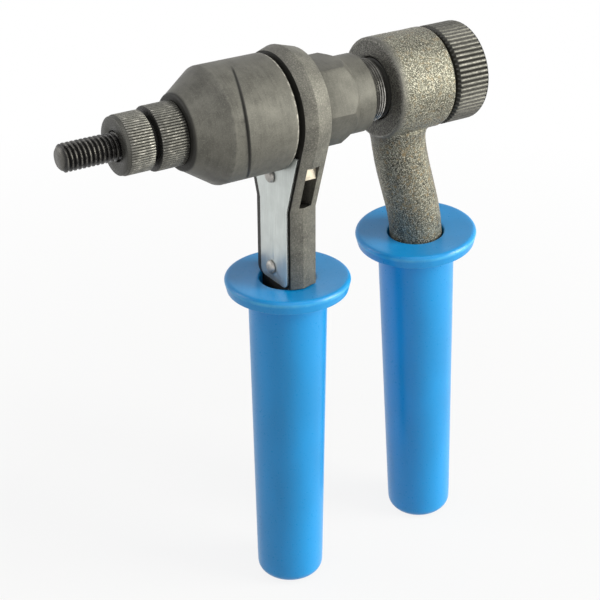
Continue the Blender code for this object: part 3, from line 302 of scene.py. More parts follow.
def turned(name, rows, steps, form=None, upright=False, hollow=False):
    """A turned mesh from (station, radius) rows. form(station, angle, radius) changes a radius."""
    points, rings = [], []
    for station, radius in rows:
        ring = []
        for i in range(steps if radius > 0 else 1):
            a = 2 * pi * i / steps
            r = form(station, a, radius) if form and radius > 0 else radius
            ring.append(len(points))
            across = (r * cos(a), r * sin(a))
            points.append((*across, station) if upright else (station, *across))
        rings.append(ring)
    pairs = list(zip(rings, rings[1:])) + ([(rings[-1], rings[0])] if hollow else [])
    faces = []
    for a, b in pairs:
        for i in range(steps):
            j = (i + 1) % steps
            corners = [a[i % len(a)], a[j % len(a)], b[j % len(b)], b[i % len(b)]]
            faces.append(list(dict.fromkeys(corners)))
    mesh = bpy.data.meshes.new(name)
    mesh.from_pydata(points, [], faces)
    bm = bmesh.new()
    bm.from_mesh(mesh)
    bmesh.ops.recalc_face_normals(bm, faces=bm.faces)
    bm.to_mesh(mesh)
    bm.free()
    return mesh


def node_copy(node, name, place):
    """A node's mesh in a piece's own frame, with its flat faces whole again."""
    bm = bmesh.new()
    bm.from_mesh(frame["nodes"][node].data)
    bmesh.ops.remove_doubles(bm, verts=bm.verts, dist=1e-6)
    bmesh.ops.dissolve_limit(bm, angle_limit=radians(0.4), verts=bm.verts, edges=bm.edges)
    mesh = bpy.data.meshes.new(name)
    bm.to_mesh(mesh)
    bm.free()
    mesh.transform(place.inverted())
    return mesh


def settled(mesh, add_modifiers):
    """The mesh after some modifiers."""
    carrier = linked("carrier", mesh)
    add_modifiers(carrier.modifiers)
    graph = bpy.context.evaluated_depsgraph_get()
    done = bpy.data.meshes.new_from_object(carrier.evaluated_get(graph))
    bpy.data.objects.remove(carrier)
    done.name = mesh.name
    return done


def edges_broken(mesh, width, limit=30.0):
    """The mesh with its sharp edges rounded a little."""
    def add(modifiers):
        bevel = modifiers.new("edge_break", 'BEVEL')
        bevel.width = width
        bevel.segments = 2
        bevel.limit_method = 'ANGLE'
        bevel.angle_limit = radians(limit)
    return settled(mesh, add)


class Finish:
    """A material under construction: one Principled shader, and the nodes that feed it."""

    def __init__(self, name, base, roughness, metallic, **sockets):
        self.material = bpy.data.materials.new(name)
        self.material.use_nodes = True
        self.tree = self.material.node_tree
        self.shader = self.tree.nodes["Principled BSDF"]
        self.place = self.add("ShaderNodeTexCoord").outputs["Object"]
        self.wire(self.shader, Base_Color=base, Roughness=roughness, Metallic=metallic, **sockets)

    def add(self, kind, **values):
        node = self.tree.nodes.new(kind)
        for key, value in values.items():
            setattr(node, key, value)
        return node

    def plug(self, socket, value):
        """Give a socket a value or another node's output."""
        if isinstance(value, NodeSocket):
            self.tree.links.new(value, socket)
        else:
            socket.default_value = (*value, 1.0) if socket.type == 'RGBA' else value

    def wire(self, node, **values):
        for key, value in values.items():
            self.plug(node.inputs[key.replace("_", " ")], value)
        return node

    def stretched(self, x=1.0, y=1.0, z=1.0):
        """Object coordinates stretched along its axes."""
        node = self.add("ShaderNodeMapping")
        self.wire(node, Vector=self.place, Scale=(x, y, z))
        return node.outputs["Vector"]

    def grain(self, feature, detail=4.0, rough=0.55, vector=None):
        """Noise whose features are about this long."""
        node = self.add("ShaderNodeTexNoise")
        self.wire(node, Vector=vector or self.place, Scale=1 / feature, Detail=detail,
                  Roughness=rough)
        return node.outputs["Fac"]

    def spread(self, value, low, high, to_low=0.0, to_high=1.0):
        """A value's place between two limits, as a share between two others."""
        node = self.add("ShaderNodeMapRange")
        self.wire(node, Value=value, From_Min=low, From_Max=high, To_Min=to_low, To_Max=to_high)
        return node.outputs["Result"]

    def maths(self, kind, a, b=0.0):
        node = self.add("ShaderNodeMath", operation=kind)
        self.plug(node.inputs[0], a)
        self.plug(node.inputs[1], b)
        return node.outputs[0]

    def mix(self, factor, first, second):
        """Blend two colours, or a colour with an earlier blend."""
        node = self.add("ShaderNodeMix", data_type='RGBA')
        for i, value in ((0, factor), (6, first), (7, second)):
            self.plug(node.inputs[i], value)
        return node.outputs[2]

    def parts(self):
        node = self.add("ShaderNodeSeparateXYZ")
        self.wire(node, Vector=self.place)
        return node.outputs

    def times(self, first, *others):
        """Product of all the values."""
        for other in others:
            first = self.maths('MULTIPLY', first, other)
        return first

    def gap(self, value, place):
        """How far a value is from a place, either way."""
        return self.maths('ABSOLUTE', self.maths('SUBTRACT', value, place))

    def span(self, first, second):
        """Length across two coordinates."""
        return self.maths('SQRT', self.maths('ADD', self.times(first, first),
                                             self.times(second, second)))

    def radius(self):
        """Distance from the piece's X axis."""
        _, y, z = self.parts()
        return self.span(y, z)

    def worn_at(self, station, width, patch):
        """Broken wear along an edge at a station, in patches of about this size."""
        near = self.spread(self.gap(self.parts()[0], station), 0.2 * width, width, 1.0, 0.0)
        return self.times(near, self.spread(self.grain(patch, 4.0, 0.7), 0.44, 0.62))

    def done(self, paint, rough, height, depth, strength):
        """The material, once its colour, roughness and relief are wired to the shader."""
        bump = self.add("ShaderNodeBump")
        self.wire(bump, Height=height, Distance=depth, Strength=strength)
        self.wire(self.shader, Base_Color=paint, Roughness=rough, Normal=bump.outputs["Normal"])
        return self.material


def seen_clear(tree):
    """1 for rays that come from the lens, a mirror or glass, and 0 for the rest."""
    rays = tree.nodes.new("ShaderNodeLightPath").outputs
    level = rays["Is Camera Ray"]
    for ray in ("Is Glossy Ray", "Is Transmission Ray"):
        either = tree.nodes.new("ShaderNodeMath")
        either.operation = 'MAXIMUM'
        tree.links.new(level, either.inputs[0])
        tree.links.new(rays[ray], either.inputs[1])
        level = either.outputs[0]
    return level


def tone(rgb, factor):
    return tuple(min(1.0, c * factor) for c in rgb)


def phosphate_finish(name, lift=1.0, rims=(), rubbed=(), shaded_bands=(), crease=None):
    """Matt phosphate with a crystalline grain, clouds and turning marks.

    Rims are stations where the edge has worn to bare steel, and rubbed ones are only paler.
    Shaded bands, and the crease in front of the pad's wall, are darkened with painted shade.
    """
    c = colours()
    base = tone(c.phosphate, lift)
    f = Finish(name, base, 0.5, 0.18, Specular_IOR_Level=0.22)
    clouds = f.grain(6 * MM, 4.0, 0.6)
    marks = f.grain(0.8 * MM, 3.0, 0.6, f.stretched(1.0, 0.06, 0.06))
    fine = f.grain(0.42 * MM, 3.0, 0.75)
    paint = f.mix(f.spread(clouds, 0.34, 0.68), tone(base, 0.74), tone(base, 1.28))
    paint = f.mix(f.spread(marks, 0.35, 0.70, 0.0, 0.35), paint, tone(base, 1.55))
    paint = f.mix(f.spread(fine, 0.42, 0.28, 0.0, 0.55), paint, tone(base, 0.45))
    paint = f.mix(f.spread(fine, 0.52, 0.74, 0.0, 0.60), paint, tone(base, 2.1))
    for station in rubbed:
        paint = f.mix(f.worn_at(station, 1.1 * MM, 3.0 * MM), paint, tone(base, 1.55))
    for station in rims:
        paint = f.mix(f.worn_at(station, 0.7 * MM, 1.8 * MM), paint, tone(c.worn, 0.8))
    # Painted shade: each band darkens from its first station to its second.
    for shade_start, dark in shaded_bands:
        paint = f.mix(f.spread(f.parts()[0], shade_start, dark), paint, tone(base, 0.28))
    # Painted shade in the crease in front of the pad's raised wall, on the pad's side of the nose.
    if crease is not None:
        s = nose()
        x, y, z = f.parts()
        facing = f.maths('ADD', f.times(y, -cos(s.pad_middle) / s.nose_r),
                         f.times(z, sin(s.pad_middle) / s.nose_r))
        wall = f.maths('SUBTRACT', crease + s.pad_bow, f.times(facing, s.pad_bow))
        crease_shade = f.spread(f.gap(x, wall), 0.2 * MM, 0.6 * MM, 0.9, 0.0)
        paint = f.mix(f.times(crease_shade, f.spread(facing, 0.34, 0.50)), paint, tone(base, 0.2))
    return f.done(paint, f.spread(fine, 0.3, 0.7, 0.42, 0.60),
                  f.maths('ADD', fine, f.times(marks, 0.5)), 0.05 * MM, 0.5)


def ribbed_finish(name, crest_r, depth, darkened_until=None, lift=1.0, wear=0.85):
    """Blackened ribs, dull on their crests and worn bright in places, by distance from the axis."""
    c = colours()
    crest = tone(c.rib_crest, lift)
    f = Finish(name, crest, 0.40, 0.55, Specular_IOR_Level=0.35)
    height = f.spread(f.radius(), crest_r - depth, crest_r)
    patches = f.grain(1.6 * MM, 4.0, 0.65)
    paint = f.mix(f.spread(height, 0.30, 0.85), c.rib_valley, crest)
    paint = f.mix(f.spread(patches, 0.46, 0.34, 0.0, 0.55), paint, tone(c.rib_valley, 1.6))
    rub = f.times(f.spread(height, 0.82, 0.99), f.spread(patches, 0.53, 0.66))
    paint = f.mix(rub, paint, tone(c.worn, wear))
    # Painted darker before this station; on the knob's front bevel this is painted shade beside the gap in front
    # of the knob.
    if darkened_until is not None:
        ribbed = f.spread(f.parts()[0], darkened_until, darkened_until + 0.25 * MM)
        paint = f.mix(ribbed, tone(crest, 0.42), paint)
    return f.done(paint, f.spread(f.grain(0.6 * MM, 3.0), 0.3, 0.7, 0.32, 0.55),
                  f.grain(0.25 * MM, 3.0, 0.7), 0.02 * MM, 0.4)


def neck_finish(crest_r, height):
    """Dark thread on the neck whose crests are painted bright, partly as wear and partly as a painted highlight,
    most of all beside the head and on the lower side.
    """
    c = colours()
    f = Finish("neck_thread_worn_and_highlit", c.bright, 0.30, 0.85)
    crest = f.spread(f.radius(), crest_r - 0.55 * height, crest_r - 0.1 * height)
    x = f.parts()[0]
    rear = HEAD_START - metal().neck_relief
    toward_head = f.spread(x, rear - metal().neck_thread, rear - 0.5 * MM, 0.25, 1.0)
    patches = f.spread(f.grain(2.2 * MM, 4.0, 0.6), 0.36, 0.56, 0.35, 1.0)
    # Painted highlight: the crests brighten toward the bottom of the neck.
    below = f.spread(f.parts()[2], 7.0 * MM, 1.0 * MM, 0.2, 1.0)
    worn = f.times(crest, toward_head, patches, below)
    paint = f.mix(worn, tone(c.phosphate, 0.45), tone(c.bright, 1.35))
    return f.done(paint, f.spread(patches, 0.0, 1.0, 0.42, 0.26), f.grain(0.3 * MM, 3.0, 0.7),
                  0.01 * MM, 0.4)


def oxide_finish():
    """Oiled black oxide with rubbed crests, a paler tip face and a wet smear beside the anvil."""
    c = colours()
    f = Finish("mandrel_black_oxide", c.oxide, 0.34, 0.55, Specular_IOR_Level=0.4)
    x = f.parts()[0]
    patches = f.grain(1.4 * MM, 4.0, 0.65)
    rub = f.times(f.spread(f.radius(), 4.45 * MM, 4.76 * MM), f.spread(patches, 0.38, 0.66))
    smear = f.times(f.spread(x, -6.5 * MM, -2.0 * MM), f.spread(f.grain(3 * MM, 3.0), 0.40, 0.50))
    dry = f.times(rub, f.maths('SUBTRACT', 1.0, smear))
    paint = f.mix(dry, c.oxide, tone(c.worn, 0.30))
    tip = f.times(f.spread(x, MANDREL_START + 0.9 * MM, MANDREL_START + 0.2 * MM),
                  f.spread(f.grain(0.9 * MM, 3.0), 0.25, 0.55, 0.5, 1.0))
    return f.done(f.mix(tip, paint, tone(c.worn, 0.24)), f.spread(smear, 0.0, 1.0, 0.40, 0.16),
                  f.grain(0.3 * MM, 3.0, 0.7), 0.02 * MM, 0.35)


def casting_finish():
    """Fine casting of the ratchet lever: grainy drafted sides and a front darkened with painted shade."""
    c = colours()
    f = Finish("lever_casting", c.casting, 0.55, 0.25, Specular_IOR_Level=0.35)
    grit = f.grain(0.50 * MM, 3.0, 0.8)
    clouds = f.grain(5 * MM, 4.0, 0.6)
    paint = f.mix(f.spread(clouds, 0.35, 0.65), tone(c.casting, 0.78), tone(c.casting, 1.22))
    paint = f.mix(f.spread(grit, 0.46, 0.30, 0.0, 0.75), paint, tone(c.casting, 0.35))
    paint = f.mix(f.spread(grit, 0.52, 0.70, 0.0, 0.85), paint, tone(c.casting, 2.3))
    # Painted shade darkens the lever's front face.
    shaded_front = f.spread(f.parts()[0], LEVER_START + 0.45 * MM, LEVER_START + 0.12 * MM, 0.0, 0.92)
    return f.done(f.mix(shaded_front, paint, tone(c.casting, 0.20)),
                  f.spread(grit, 0.3, 0.7, 0.45, 0.65), grit, 0.14 * MM, 0.55)


def rough_finish():
    """Shot-blasted casting: olive lows, bright grains that are partly painted glints, and a machined edge on its
    dark front that is partly a painted highlight.
    """
    c, m = colours(), metal()
    band = m.smooth_band
    f = Finish("rear_head_rough_casting", c.bright_grain_and_glint, 0.42, 0.5, Specular_IOR_Level=0.35)
    grit = f.grain(0.60 * MM, 3.0, 0.85)
    speck = f.grain(0.34 * MM, 2.0, 0.8)
    clouds = f.grain(5 * MM, 4.0, 0.6)
    both = f.times(f.maths('ADD', grit, speck), 0.5)
    olive = f.mix(f.spread(clouds, 0.36, 0.64), tone(c.rough_dark, 0.62), tone(c.rough_dark, 1.6))
    # Bright grains, partly painted glints of light.
    paint = f.mix(f.spread(both, 0.505, 0.565), olive, c.bright_grain_and_glint)
    brown = tuple(a * b for a, b in zip(c.bright_grain_and_glint, (0.50, 0.38, 0.25)))
    below = f.spread(f.parts()[2], 2 * MM, -14 * MM, 0.45, 0.85)
    stain = f.spread(f.grain(1.6 * MM, 4.0, 0.65), 0.54, 0.64)
    paint = f.mix(f.times(stain, below), paint, brown)
    x, r = f.parts()[0], f.radius()
    smooth_tone = f.mix(f.spread(both, 0.42, 0.62), tone(c.phosphate, 0.7), tone(c.phosphate, 1.5))
    paint = f.mix(f.spread(x, HEAD_START + 0.5 * band, HEAD_START + 1.5 * band), smooth_tone, paint)
    face = f.spread(x, HEAD_START + 0.35 * MM, HEAD_START + 0.12 * MM)
    dark = f.mix(f.spread(both, 0.47, 0.57), tone(c.phosphate, 0.40), tone(c.phosphate, 2.3))
    paint = f.mix(face, paint, dark)
    # Bright machined edge on the front, partly a painted highlight that grows brighter towards the bottom.
    line = f.times(f.spread(f.gap(r, m.head_edge_r), 0.12 * MM, 0.42 * MM, 1.0, 0.0),
                   f.spread(x, HEAD_START + 1.1 * MM, HEAD_START + 0.6 * MM),
                   f.spread(f.grain(3 * MM, 4.0, 0.6), 0.40, 0.60, 0.0, 0.8),
                   f.spread(f.parts()[2], 2.0 * MM, -12.0 * MM, 0.15, 1.0))
    return f.done(f.mix(line, paint, tone(c.worn, 0.8)), f.spread(speck, 0.3, 0.7, 0.34, 0.58),
                  both, 0.3 * MM, 0.8)


def zinc_finish():
    """Zinc plate with faint rolling streaks and a thin passivated tint near its lower end."""
    c = colours()
    f = Finish("cover_plate_zinc", c.zinc, 0.34, 0.65)
    streaks = f.grain(0.6 * MM, 3.0, 0.6, f.stretched(1.0, 1.0, 0.06))
    cloud = f.grain(5 * MM, 4.0, 0.6)
    paint = f.mix(f.spread(streaks, 0.3, 0.7), tone(c.zinc, 0.90), tone(c.zinc, 1.08))
    paint = f.mix(f.spread(cloud, 0.38, 0.62, 0.0, 0.5), paint, tone(c.zinc, 0.84))
    violet = tuple(a * b for a, b in zip(c.zinc, (0.86, 0.86, 0.92)))
    low = f.spread(f.parts()[2], -50 * MM, -60 * MM)
    paint = f.mix(f.times(low, f.spread(cloud, 0.40, 0.60, 0.1, 0.6)), paint, violet)
    return f.done(paint, f.spread(streaks, 0.3, 0.7, 0.28, 0.42), streaks, 0.01 * MM, 0.5)


def steel_finish(name, base, roughness=0.28, metallic=0.95):
    """Ground steel with a soft cloud of oil and fine scratches."""
    f = Finish(name, base, roughness, metallic)
    cloud = f.grain(3 * MM, 3.0)
    fine = f.grain(0.3 * MM, 3.0, 0.7)
    paint = f.mix(f.spread(cloud, 0.35, 0.65), tone(base, 0.78), tone(base, 1.12))
    rough = f.spread(fine, 0.3, 0.7, roughness - 0.06, roughness + 0.12)
    return f.done(paint, rough, fine, 0.01 * MM, 0.4)


def grip_finish(name, upright):
    """Soft glossy moulding with faint flow marks, dust and a painted highlight along the flange's rim, along the
    grip's own line.
    """
    c = colours()
    f = Finish(name, c.grip, 0.40, 0.0, IOR=1.46, Subsurface_Weight=0.08, Subsurface_Scale=1.5 * MM)
    f.wire(f.shader, Subsurface_Radius=(0.3, 0.8, 1.0))
    own_line = f.wire(f.add("ShaderNodeMapping"), Vector=f.place, Rotation=upright)
    f.place = own_line.outputs["Vector"]
    flow = f.grain(22 * MM, 3.0, 0.5, f.stretched(1.0, 1.0, 0.35))
    fine = f.grain(0.7 * MM, 3.0, 0.6)
    dust = f.grain(0.5 * MM, 2.0, 0.7)
    paint = f.mix(f.spread(flow, 0.35, 0.65), tone(c.grip, 0.92), tone(c.grip, 1.10))
    paint = f.mix(f.spread(dust, 0.70, 0.76, 0.0, 0.25), paint, (0.30, 0.50, 0.70))
    x, y, _ = f.parts()
    rim_r = handles().flange_r
    # Painted highlight: a pale band round the flange's widest edge.
    rubbed = f.times(f.spread(f.span(x, y), rim_r - 0.22 * MM, rim_r - 0.02 * MM),
                     f.spread(f.grain(9 * MM, 4.0, 0.6), 0.36, 0.60, 0.25, 0.75))
    return f.done(f.mix(rubbed, paint, c.rim), f.spread(fine, 0.3, 0.7, 0.26, 0.40),
                  f.maths('ADD', f.times(flow, 5.0), fine), 0.04 * MM, 0.35)


def stage_finish():
    """Pale stage that stays bright to the lens and to reflections, and keeps soft shadows."""
    c = colours()
    f = Finish("stage_pale", c.stage, 0.8, 0.0)
    cloud = f.grain(0.5, 2.0)
    f.wire(f.shader, Base_Color=f.mix(f.spread(cloud, 0.3, 0.7), tone(c.stage, 0.985), c.stage))
    x, y, _ = f.parts()
    glowing = f.times(seen_clear(f.tree), f.spread(f.span(x, y), 0.12, 0.45, 0.87, 1.0))
    glow = f.add("ShaderNodeEmission")
    blend = f.add("ShaderNodeMixShader")
    for i, value in enumerate((glowing, f.shader.outputs[0], glow.outputs[0])):
        f.plug(blend.inputs[i], value)
    f.wire(f.tree.nodes["Material Output"], Surface=blend.outputs[0])
    return f.material


def thread_wave(turns):
    """Height of a 60 degree thread, 0 at the root and 1 at the crest, with small flats."""
    t = abs((turns % 1.0) * 2 - 1)
    return min(1.0, max(0.0, (t - 0.12) / 0.66))


class RIVETTOOL_OT_mandrel(Operator):
    """Make the threaded mandrel"""
    bl_idname = "rivet_tool.mandrel"
    bl_label = "Mandrel"

    def execute(self, context):
        s = nose()
        tip, end = MANDREL_START, MANDREL_START + s.thread_length
        head_start, head_end = KNOB_START - 6.7 * MM, KNOB_START - 3.0 * MM
        head_r, hex_r = 7.0 * MM, 4.6 * MM
        steps_in_turn = 12
        step = s.thread_pitch / steps_in_turn
        rows = [(tip, 0), (tip, s.thread_r - s.tip_chamfer)]
        rows += [(tip + step * (i + 1), s.thread_r) for i in range(ceil((end - tip) / step) - 1)]
        rows += [(end, s.rod_r), (head_start, s.rod_r), (head_start, head_r), (head_end, head_r),
                 (head_end, hex_r), (MANDREL_END, hex_r), (MANDREL_END, 0)]

        def thread(x, a, r):
            if x >= head_end and r == hex_r:
                third = (a + pi / 6) % (pi / 3) - pi / 6
                return r * cos(pi / 6) / cos(third)
            if x >= end:
                return r
            run_out = min(1.0, max(0.0, (end - x) / s.thread_pitch))
            full = thread_wave(x / s.thread_pitch - a / (2 * pi))
            cut = s.thread_r - s.thread_depth * (1 - full) * run_out
            return min(cut, s.thread_r - s.tip_chamfer + s.tip_slope * (x - tip))

        mesh = turned("mandrel_threaded", rows, steps=60, form=thread)
        put(mesh, "mandrel_threaded", TOOL, "mandrel_drive", "black_steel", oxide_finish(), "mandrel",
            sharp=50.0)
        return {'FINISHED'}


def rib_form(crest, depth, ribs, sharpness, low=-1.0, high=1.0):
    """Straight ribs rolled into a turned blank between two stations."""
    def form(x, a, r):
        if r < crest - 3 * depth or not low <= x <= high:
            return r
        wave = min(1.0, 1.25 * abs(cos(a * ribs / 2))) ** sharpness
        return min(r, crest - depth * (1 - wave))
    return form


class RIVETTOOL_OT_nosepieces(Operator):
    """Make the ribbed anvil and its lock ring"""
    bl_idname = "rivet_tool.nosepieces"
    bl_label = "Anvil and lock ring"

    def execute(self, context):
        s = nose()
        edge = s.anvil_r - s.rib_depth
        shank_end = node_span("anvil")[1]
        trim = s.rib_chamfer
        ribs_start = s.plain_band + 0.3 * MM
        bore_chamfer = 0.4 * MM
        rows = [(0, s.anvil_bore_r + bore_chamfer), (0, edge - trim), (trim, edge),
                (s.plain_band, edge), (ribs_start, s.anvil_r)]
        rows += [(x, s.anvil_r) for x in between(ribs_start, ANVIL_END - trim, 4)]
        rows += [(ANVIL_END, s.anvil_r - trim), (ANVIL_END, s.anvil_shank_r),
                 (shank_end, s.anvil_shank_r), (shank_end, s.anvil_bore_r),
                 (bore_chamfer, s.anvil_bore_r)]
        steps = STEPS_PER_RIB * s.anvil_ribs
        form = rib_form(s.anvil_r, s.rib_depth, s.anvil_ribs, 0.8, s.plain_band)
        finish = ribbed_finish("anvil_blackened_ribs", s.anvil_r, s.rib_depth, s.plain_band)
        put(turned("anvil_ribbed", rows, steps, form, hollow=True), "anvil_ribbed", TOOL, "anvil",
            "knurled_steel", finish, "anvil", sharp=50.0)

        start, end = RING_START, RING_END
        bore = s.anvil_shank_r + SHANK_FIT
        rows = [(start, bore), (start, s.ring_r - trim), (start + trim, s.ring_r)]
        rows += [(x, s.ring_r) for x in between(start + trim, end - trim, 4)]
        rows += [(end, s.ring_r - trim), (end, bore)]
        form = rib_form(s.ring_r, s.rib_depth, s.ring_ribs, 0.8)
        finish = ribbed_finish("lock_ring_blackened_ribs", s.ring_r, s.rib_depth, lift=0.76, wear=0.7)
        steps = STEPS_PER_RIB * s.ring_ribs
        put(turned("lock_ring_ribbed", rows, steps, form, hollow=True), "lock_ring_ribbed", TOOL, "lock",
            "knurled_steel", finish, "lock_ring", sharp=50.0)
        return {'FINISHED'}


class RIVETTOOL_OT_nose(Operator):
    """Make the nose housing with its raised pad"""
    bl_idname = "rivet_tool.nose"
    bl_label = "Nose housing"

    def execute(self, context):
        s = nose()
        start, end = NOSE_START, NOSE_END
        cone_end = start + s.cone_length
        wall = cone_end + s.pad_start
        top = wall + s.pad_wall
        socket_r = s.anvil_shank_r + SHANK_FIT
        rim, blend, rear_edge, first_flat = 1.0 * MM, 0.3 * MM, 0.5 * MM, 0.15 * MM
        rows = [(start, socket_r)] + arc((start + rim, s.nose_rim_r - rim), rim, 180, 90, 6)
        rows += [(cone_end - blend, s.nose_r - 0.16 * MM), (cone_end + blend, s.nose_r),
                 (wall, s.nose_r)]
        bowed = top + s.pad_bow * (1 - cos(s.pad_half))
        rows += [(x, s.nose_r) for x in between(wall, bowed, 36)]
        rows += [(x, s.nose_r) for x in between(bowed, end - rear_edge, 24)]
        nut_start, nut_room_r = end - 10.8 * MM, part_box("drive_nut")[1].z - AXIS_Z + 2.5 * MM
        bearing_start, bearing_r = start + 16.3 * MM, 12.5 * MM
        socket_end, passage_r = start + 11.3 * MM, 7.7 * MM
        rows += [(end - first_flat, s.nose_r - first_flat), (end, s.nose_r - rear_edge),
                 (end, nut_room_r), (nut_start, nut_room_r), (nut_start, bearing_r),
                 (bearing_start, bearing_r), (bearing_start, passage_r), (socket_end, passage_r),
                 (socket_end, socket_r)]

        def pad(x, a, r):
            if r < s.nose_r - rear_edge or x < wall:
                return r
            off = atan2(sin(a), -cos(a)) - s.pad_middle
            off = atan2(sin(off), cos(off))
            along = max(0.0, (x - top) / (end - top)) ** 3
            around = (cos(off) - cos(s.pad_half)) / (1 - cos(s.pad_half))
            ramp = min(1.0, max(0.0, (x - wall - s.pad_bow * (1 - cos(off))) / s.pad_wall))
            ramp = ramp * ramp * (3 - 2 * ramp)
            lift = max(0.0, around - along)
            return r + s.pad_rise * ramp * lift

        mesh = turned("nose_shell", rows, steps=220, form=pad, hollow=True)
        # The nose's front edge beside the lock ring gets a band of painted shade, and so does the crease in front
        # of the pad.
        finish = phosphate_finish("nose_housing_phosphate", 0.90, (end - 0.3 * MM,), (cone_end,),
                                  ((start + 1.3 * MM, start + 0.7 * MM),), wall)
        put(mesh, "nose_shell", TOOL, "frame", "phosphated_steel", finish, "nose_housing", sharp=28.0)
        return {'FINISHED'}


class RIVETTOOL_OT_body(Operator):
    """Make the main body with its hexagon, and the thread on its neck"""
    bl_idname = "rivet_tool.body"
    bl_label = "Main body"

    def execute(self, context):
        m = metal()
        mesh = edges_broken(node_copy("main_body", "body_machined", TOOL), m.edge)
        relief = HEAD_START - m.neck_relief
        # Painted shade darkens the groove between the neck's thread and the head.
        finish = phosphate_finish("main_body_phosphate", 0.86, shaded_bands=((relief - 0.1 * MM, relief),))
        put(mesh, "body_machined", TOOL, "frame", "phosphated_steel", finish, "main_body")
        start, end = relief - m.neck_thread, relief
        crest = m.neck_r + m.neck_crest
        root = m.neck_r + 0.02 * MM
        inner = m.neck_r - 0.3 * MM
        steps_in_turn = 10
        step = m.neck_pitch / steps_in_turn
        count = int(m.neck_thread / step)
        rows = [(start, inner)] + [(start + step * i, crest) for i in range(count + 1)] + [(end, inner)]

        def thread(x, a, r):
            if r < m.neck_r:
                return r
            run_out = min(1.0, (x - start) / (0.8 * m.neck_pitch))
            return root + (crest - root) * run_out * thread_wave((x - end) / m.neck_pitch - a / (2 * pi))

        mesh = turned("neck_thread", rows, steps=120, form=thread, hollow=True)
        put(mesh, "neck_thread", TOOL, "frame", "bright_steel", neck_finish(crest, m.neck_crest),
            sharp=50.0)
        washer = node_copy("lever_washer", "washer_turned", TOOL)
        put(edges_broken(washer, m.fine_edge), "washer_turned", TOOL, "frame", "black_steel",
            phosphate_finish("lever_washer_phosphate", 0.6), "lever_washer")
        return {'FINISHED'}


class RIVETTOOL_OT_lever(Operator):
    """Make the ratchet lever's casting, cover plate, rivets and pawl"""
    bl_idname = "rivet_tool.lever"
    bl_label = "Ratchet lever"

    def execute(self, context):
        m = metal()
        c = colours()
        casting = casting_finish()
        mesh = edges_broken(node_copy("ratchet_lever", "lever_cast", LEVER), m.edge, 20.0)
        cast = put(mesh, "lever_cast", LEVER, "lever", "cast_lever_steel", casting, "ratchet_lever")
        # Painted shade: a very dark phosphate on the lever's front faces, inside its pocket and on the land beside
        # the plate.
        oiled = phosphate_finish("lever_front_and_pocket_painted_shade", 0.18)
        cast.data.materials.append(oiled)
        pocket_start, pocket_end = LEVER_START + 1.0 * MM, LEVER_START + 9.7 * MM
        for face in cast.data.polygons:
            inside = pocket_start < face.center.x < pocket_end
            across = face.normal.y * face.center.y + face.normal.z * face.center.z
            if inside and (abs(face.normal.x) > 0.9 or across < 0):
                face.material_index = 1
        plate_front = node_span("cover_plate")[0]
        # The land beside the plate's far edge is a dark strip of painted shade.
        land = node_copy("cover_plate", "lever_front_land", LEVER)
        for v in land.vertices:
            if v.co.x < plate_front + m.land_drop:
                v.co.x += m.land_drop
        put(edges_broken(land, m.fine_edge), "lever_front_land", LEVER, "lever", "cast_lever_steel",
            oiled)
        mesh = node_copy("cover_plate", "plate_pressed", LEVER)
        for v in mesh.vertices:
            v.co.y -= m.left_land if v.co.y > 0 else 0.0
        put(edges_broken(mesh, m.fine_edge), "plate_pressed", LEVER, "lever", "zinc_plated_steel",
            zinc_finish(), "cover_plate")
        rivet = steel_finish("rivet_zinc", tone(c.bright, 0.72), 0.46, 0.7)
        for node in ("upper_rivet", "lower_rivet"):
            low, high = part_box(node)
            head = low.x + m.rivet_dome
            dome = [(low.x + m.rivet_dome * (1 - cos(t)), m.rivet_head_r * sin(t) ** 0.6)
                    for t in (radians(v) for v in (0, 12, 25, 40, 55, 70, 80, 90))]
            rows = dome + [(head, m.rivet_r), (high.x, m.rivet_r), (high.x, 0)]
            centre = Vector((0, (low.y + high.y) / 2, (low.z + high.z) / 2))
            mesh = turned(f"{node}_domed", rows, steps=40)
            put(mesh, f"{node}_domed", Matrix.Translation(centre), "lever", "bright_steel", rivet, node,
                sharp=40.0)
        mesh = edges_broken(node_copy("pawl", "pawl_ground", LEVER), m.fine_edge)
        finish = steel_finish("pawl_oiled", c.pawl, 0.34, 0.4)
        put(mesh, "pawl_ground", LEVER, "pawl", "bright_steel", finish, "pawl")
        return {'FINISHED'}


class RIVETTOOL_OT_head(Operator):
    """Make the rear head's rough casting with its curved arm"""
    bl_idname = "rivet_tool.head"
    bl_label = "Rear head"

    def execute(self, context):
        m = metal()
        source = node_copy("rear_head", "head_rough", TOOL)

        def add(modifiers):
            cells = modifiers.new("even_cells", 'REMESH')
            cells.mode = 'VOXEL'
            cells.voxel_size = m.casting_cell
            soft = modifiers.new("soft_corners", 'SMOOTH')
            soft.iterations = 3
            soft.factor = 0.5

        mesh = settled(source, add)
        smooth_until = HEAD_START + 1.2 * MM
        bore_r, grit_bottom = 12.0 * MM, -84.0 * MM
        grit_cell, fine_cell, swell_cell = 0.75 * MM, 0.42 * MM, 6.0 * MM
        places = [v.co.copy() for v in mesh.vertices]
        outward = [n.vector.copy() for n in mesh.vertex_normals]
        for i, (p, n) in enumerate(zip(places, outward)):
            if p.x < smooth_until or hypot(p.y, p.z) < bore_r or p.z < grit_bottom:
                continue
            blend = min(1.0, (p.x - smooth_until) / m.smooth_band)
            fine = noise.noise(p / grit_cell) + 0.6 * noise.noise(p / fine_cell)
            broad = noise.noise(p / swell_cell)
            places[i] = p + n * m.casting_grit * blend * (fine * 0.55 + broad * 0.5)
        mesh.vertices.foreach_set("co", [v for p in places for v in p])
        mesh.update()
        put(mesh, "head_rough", TOOL, "frame", "rough_cast_steel", rough_finish(), "rear_head",
            sharp=50.0)
        return {'FINISHED'}


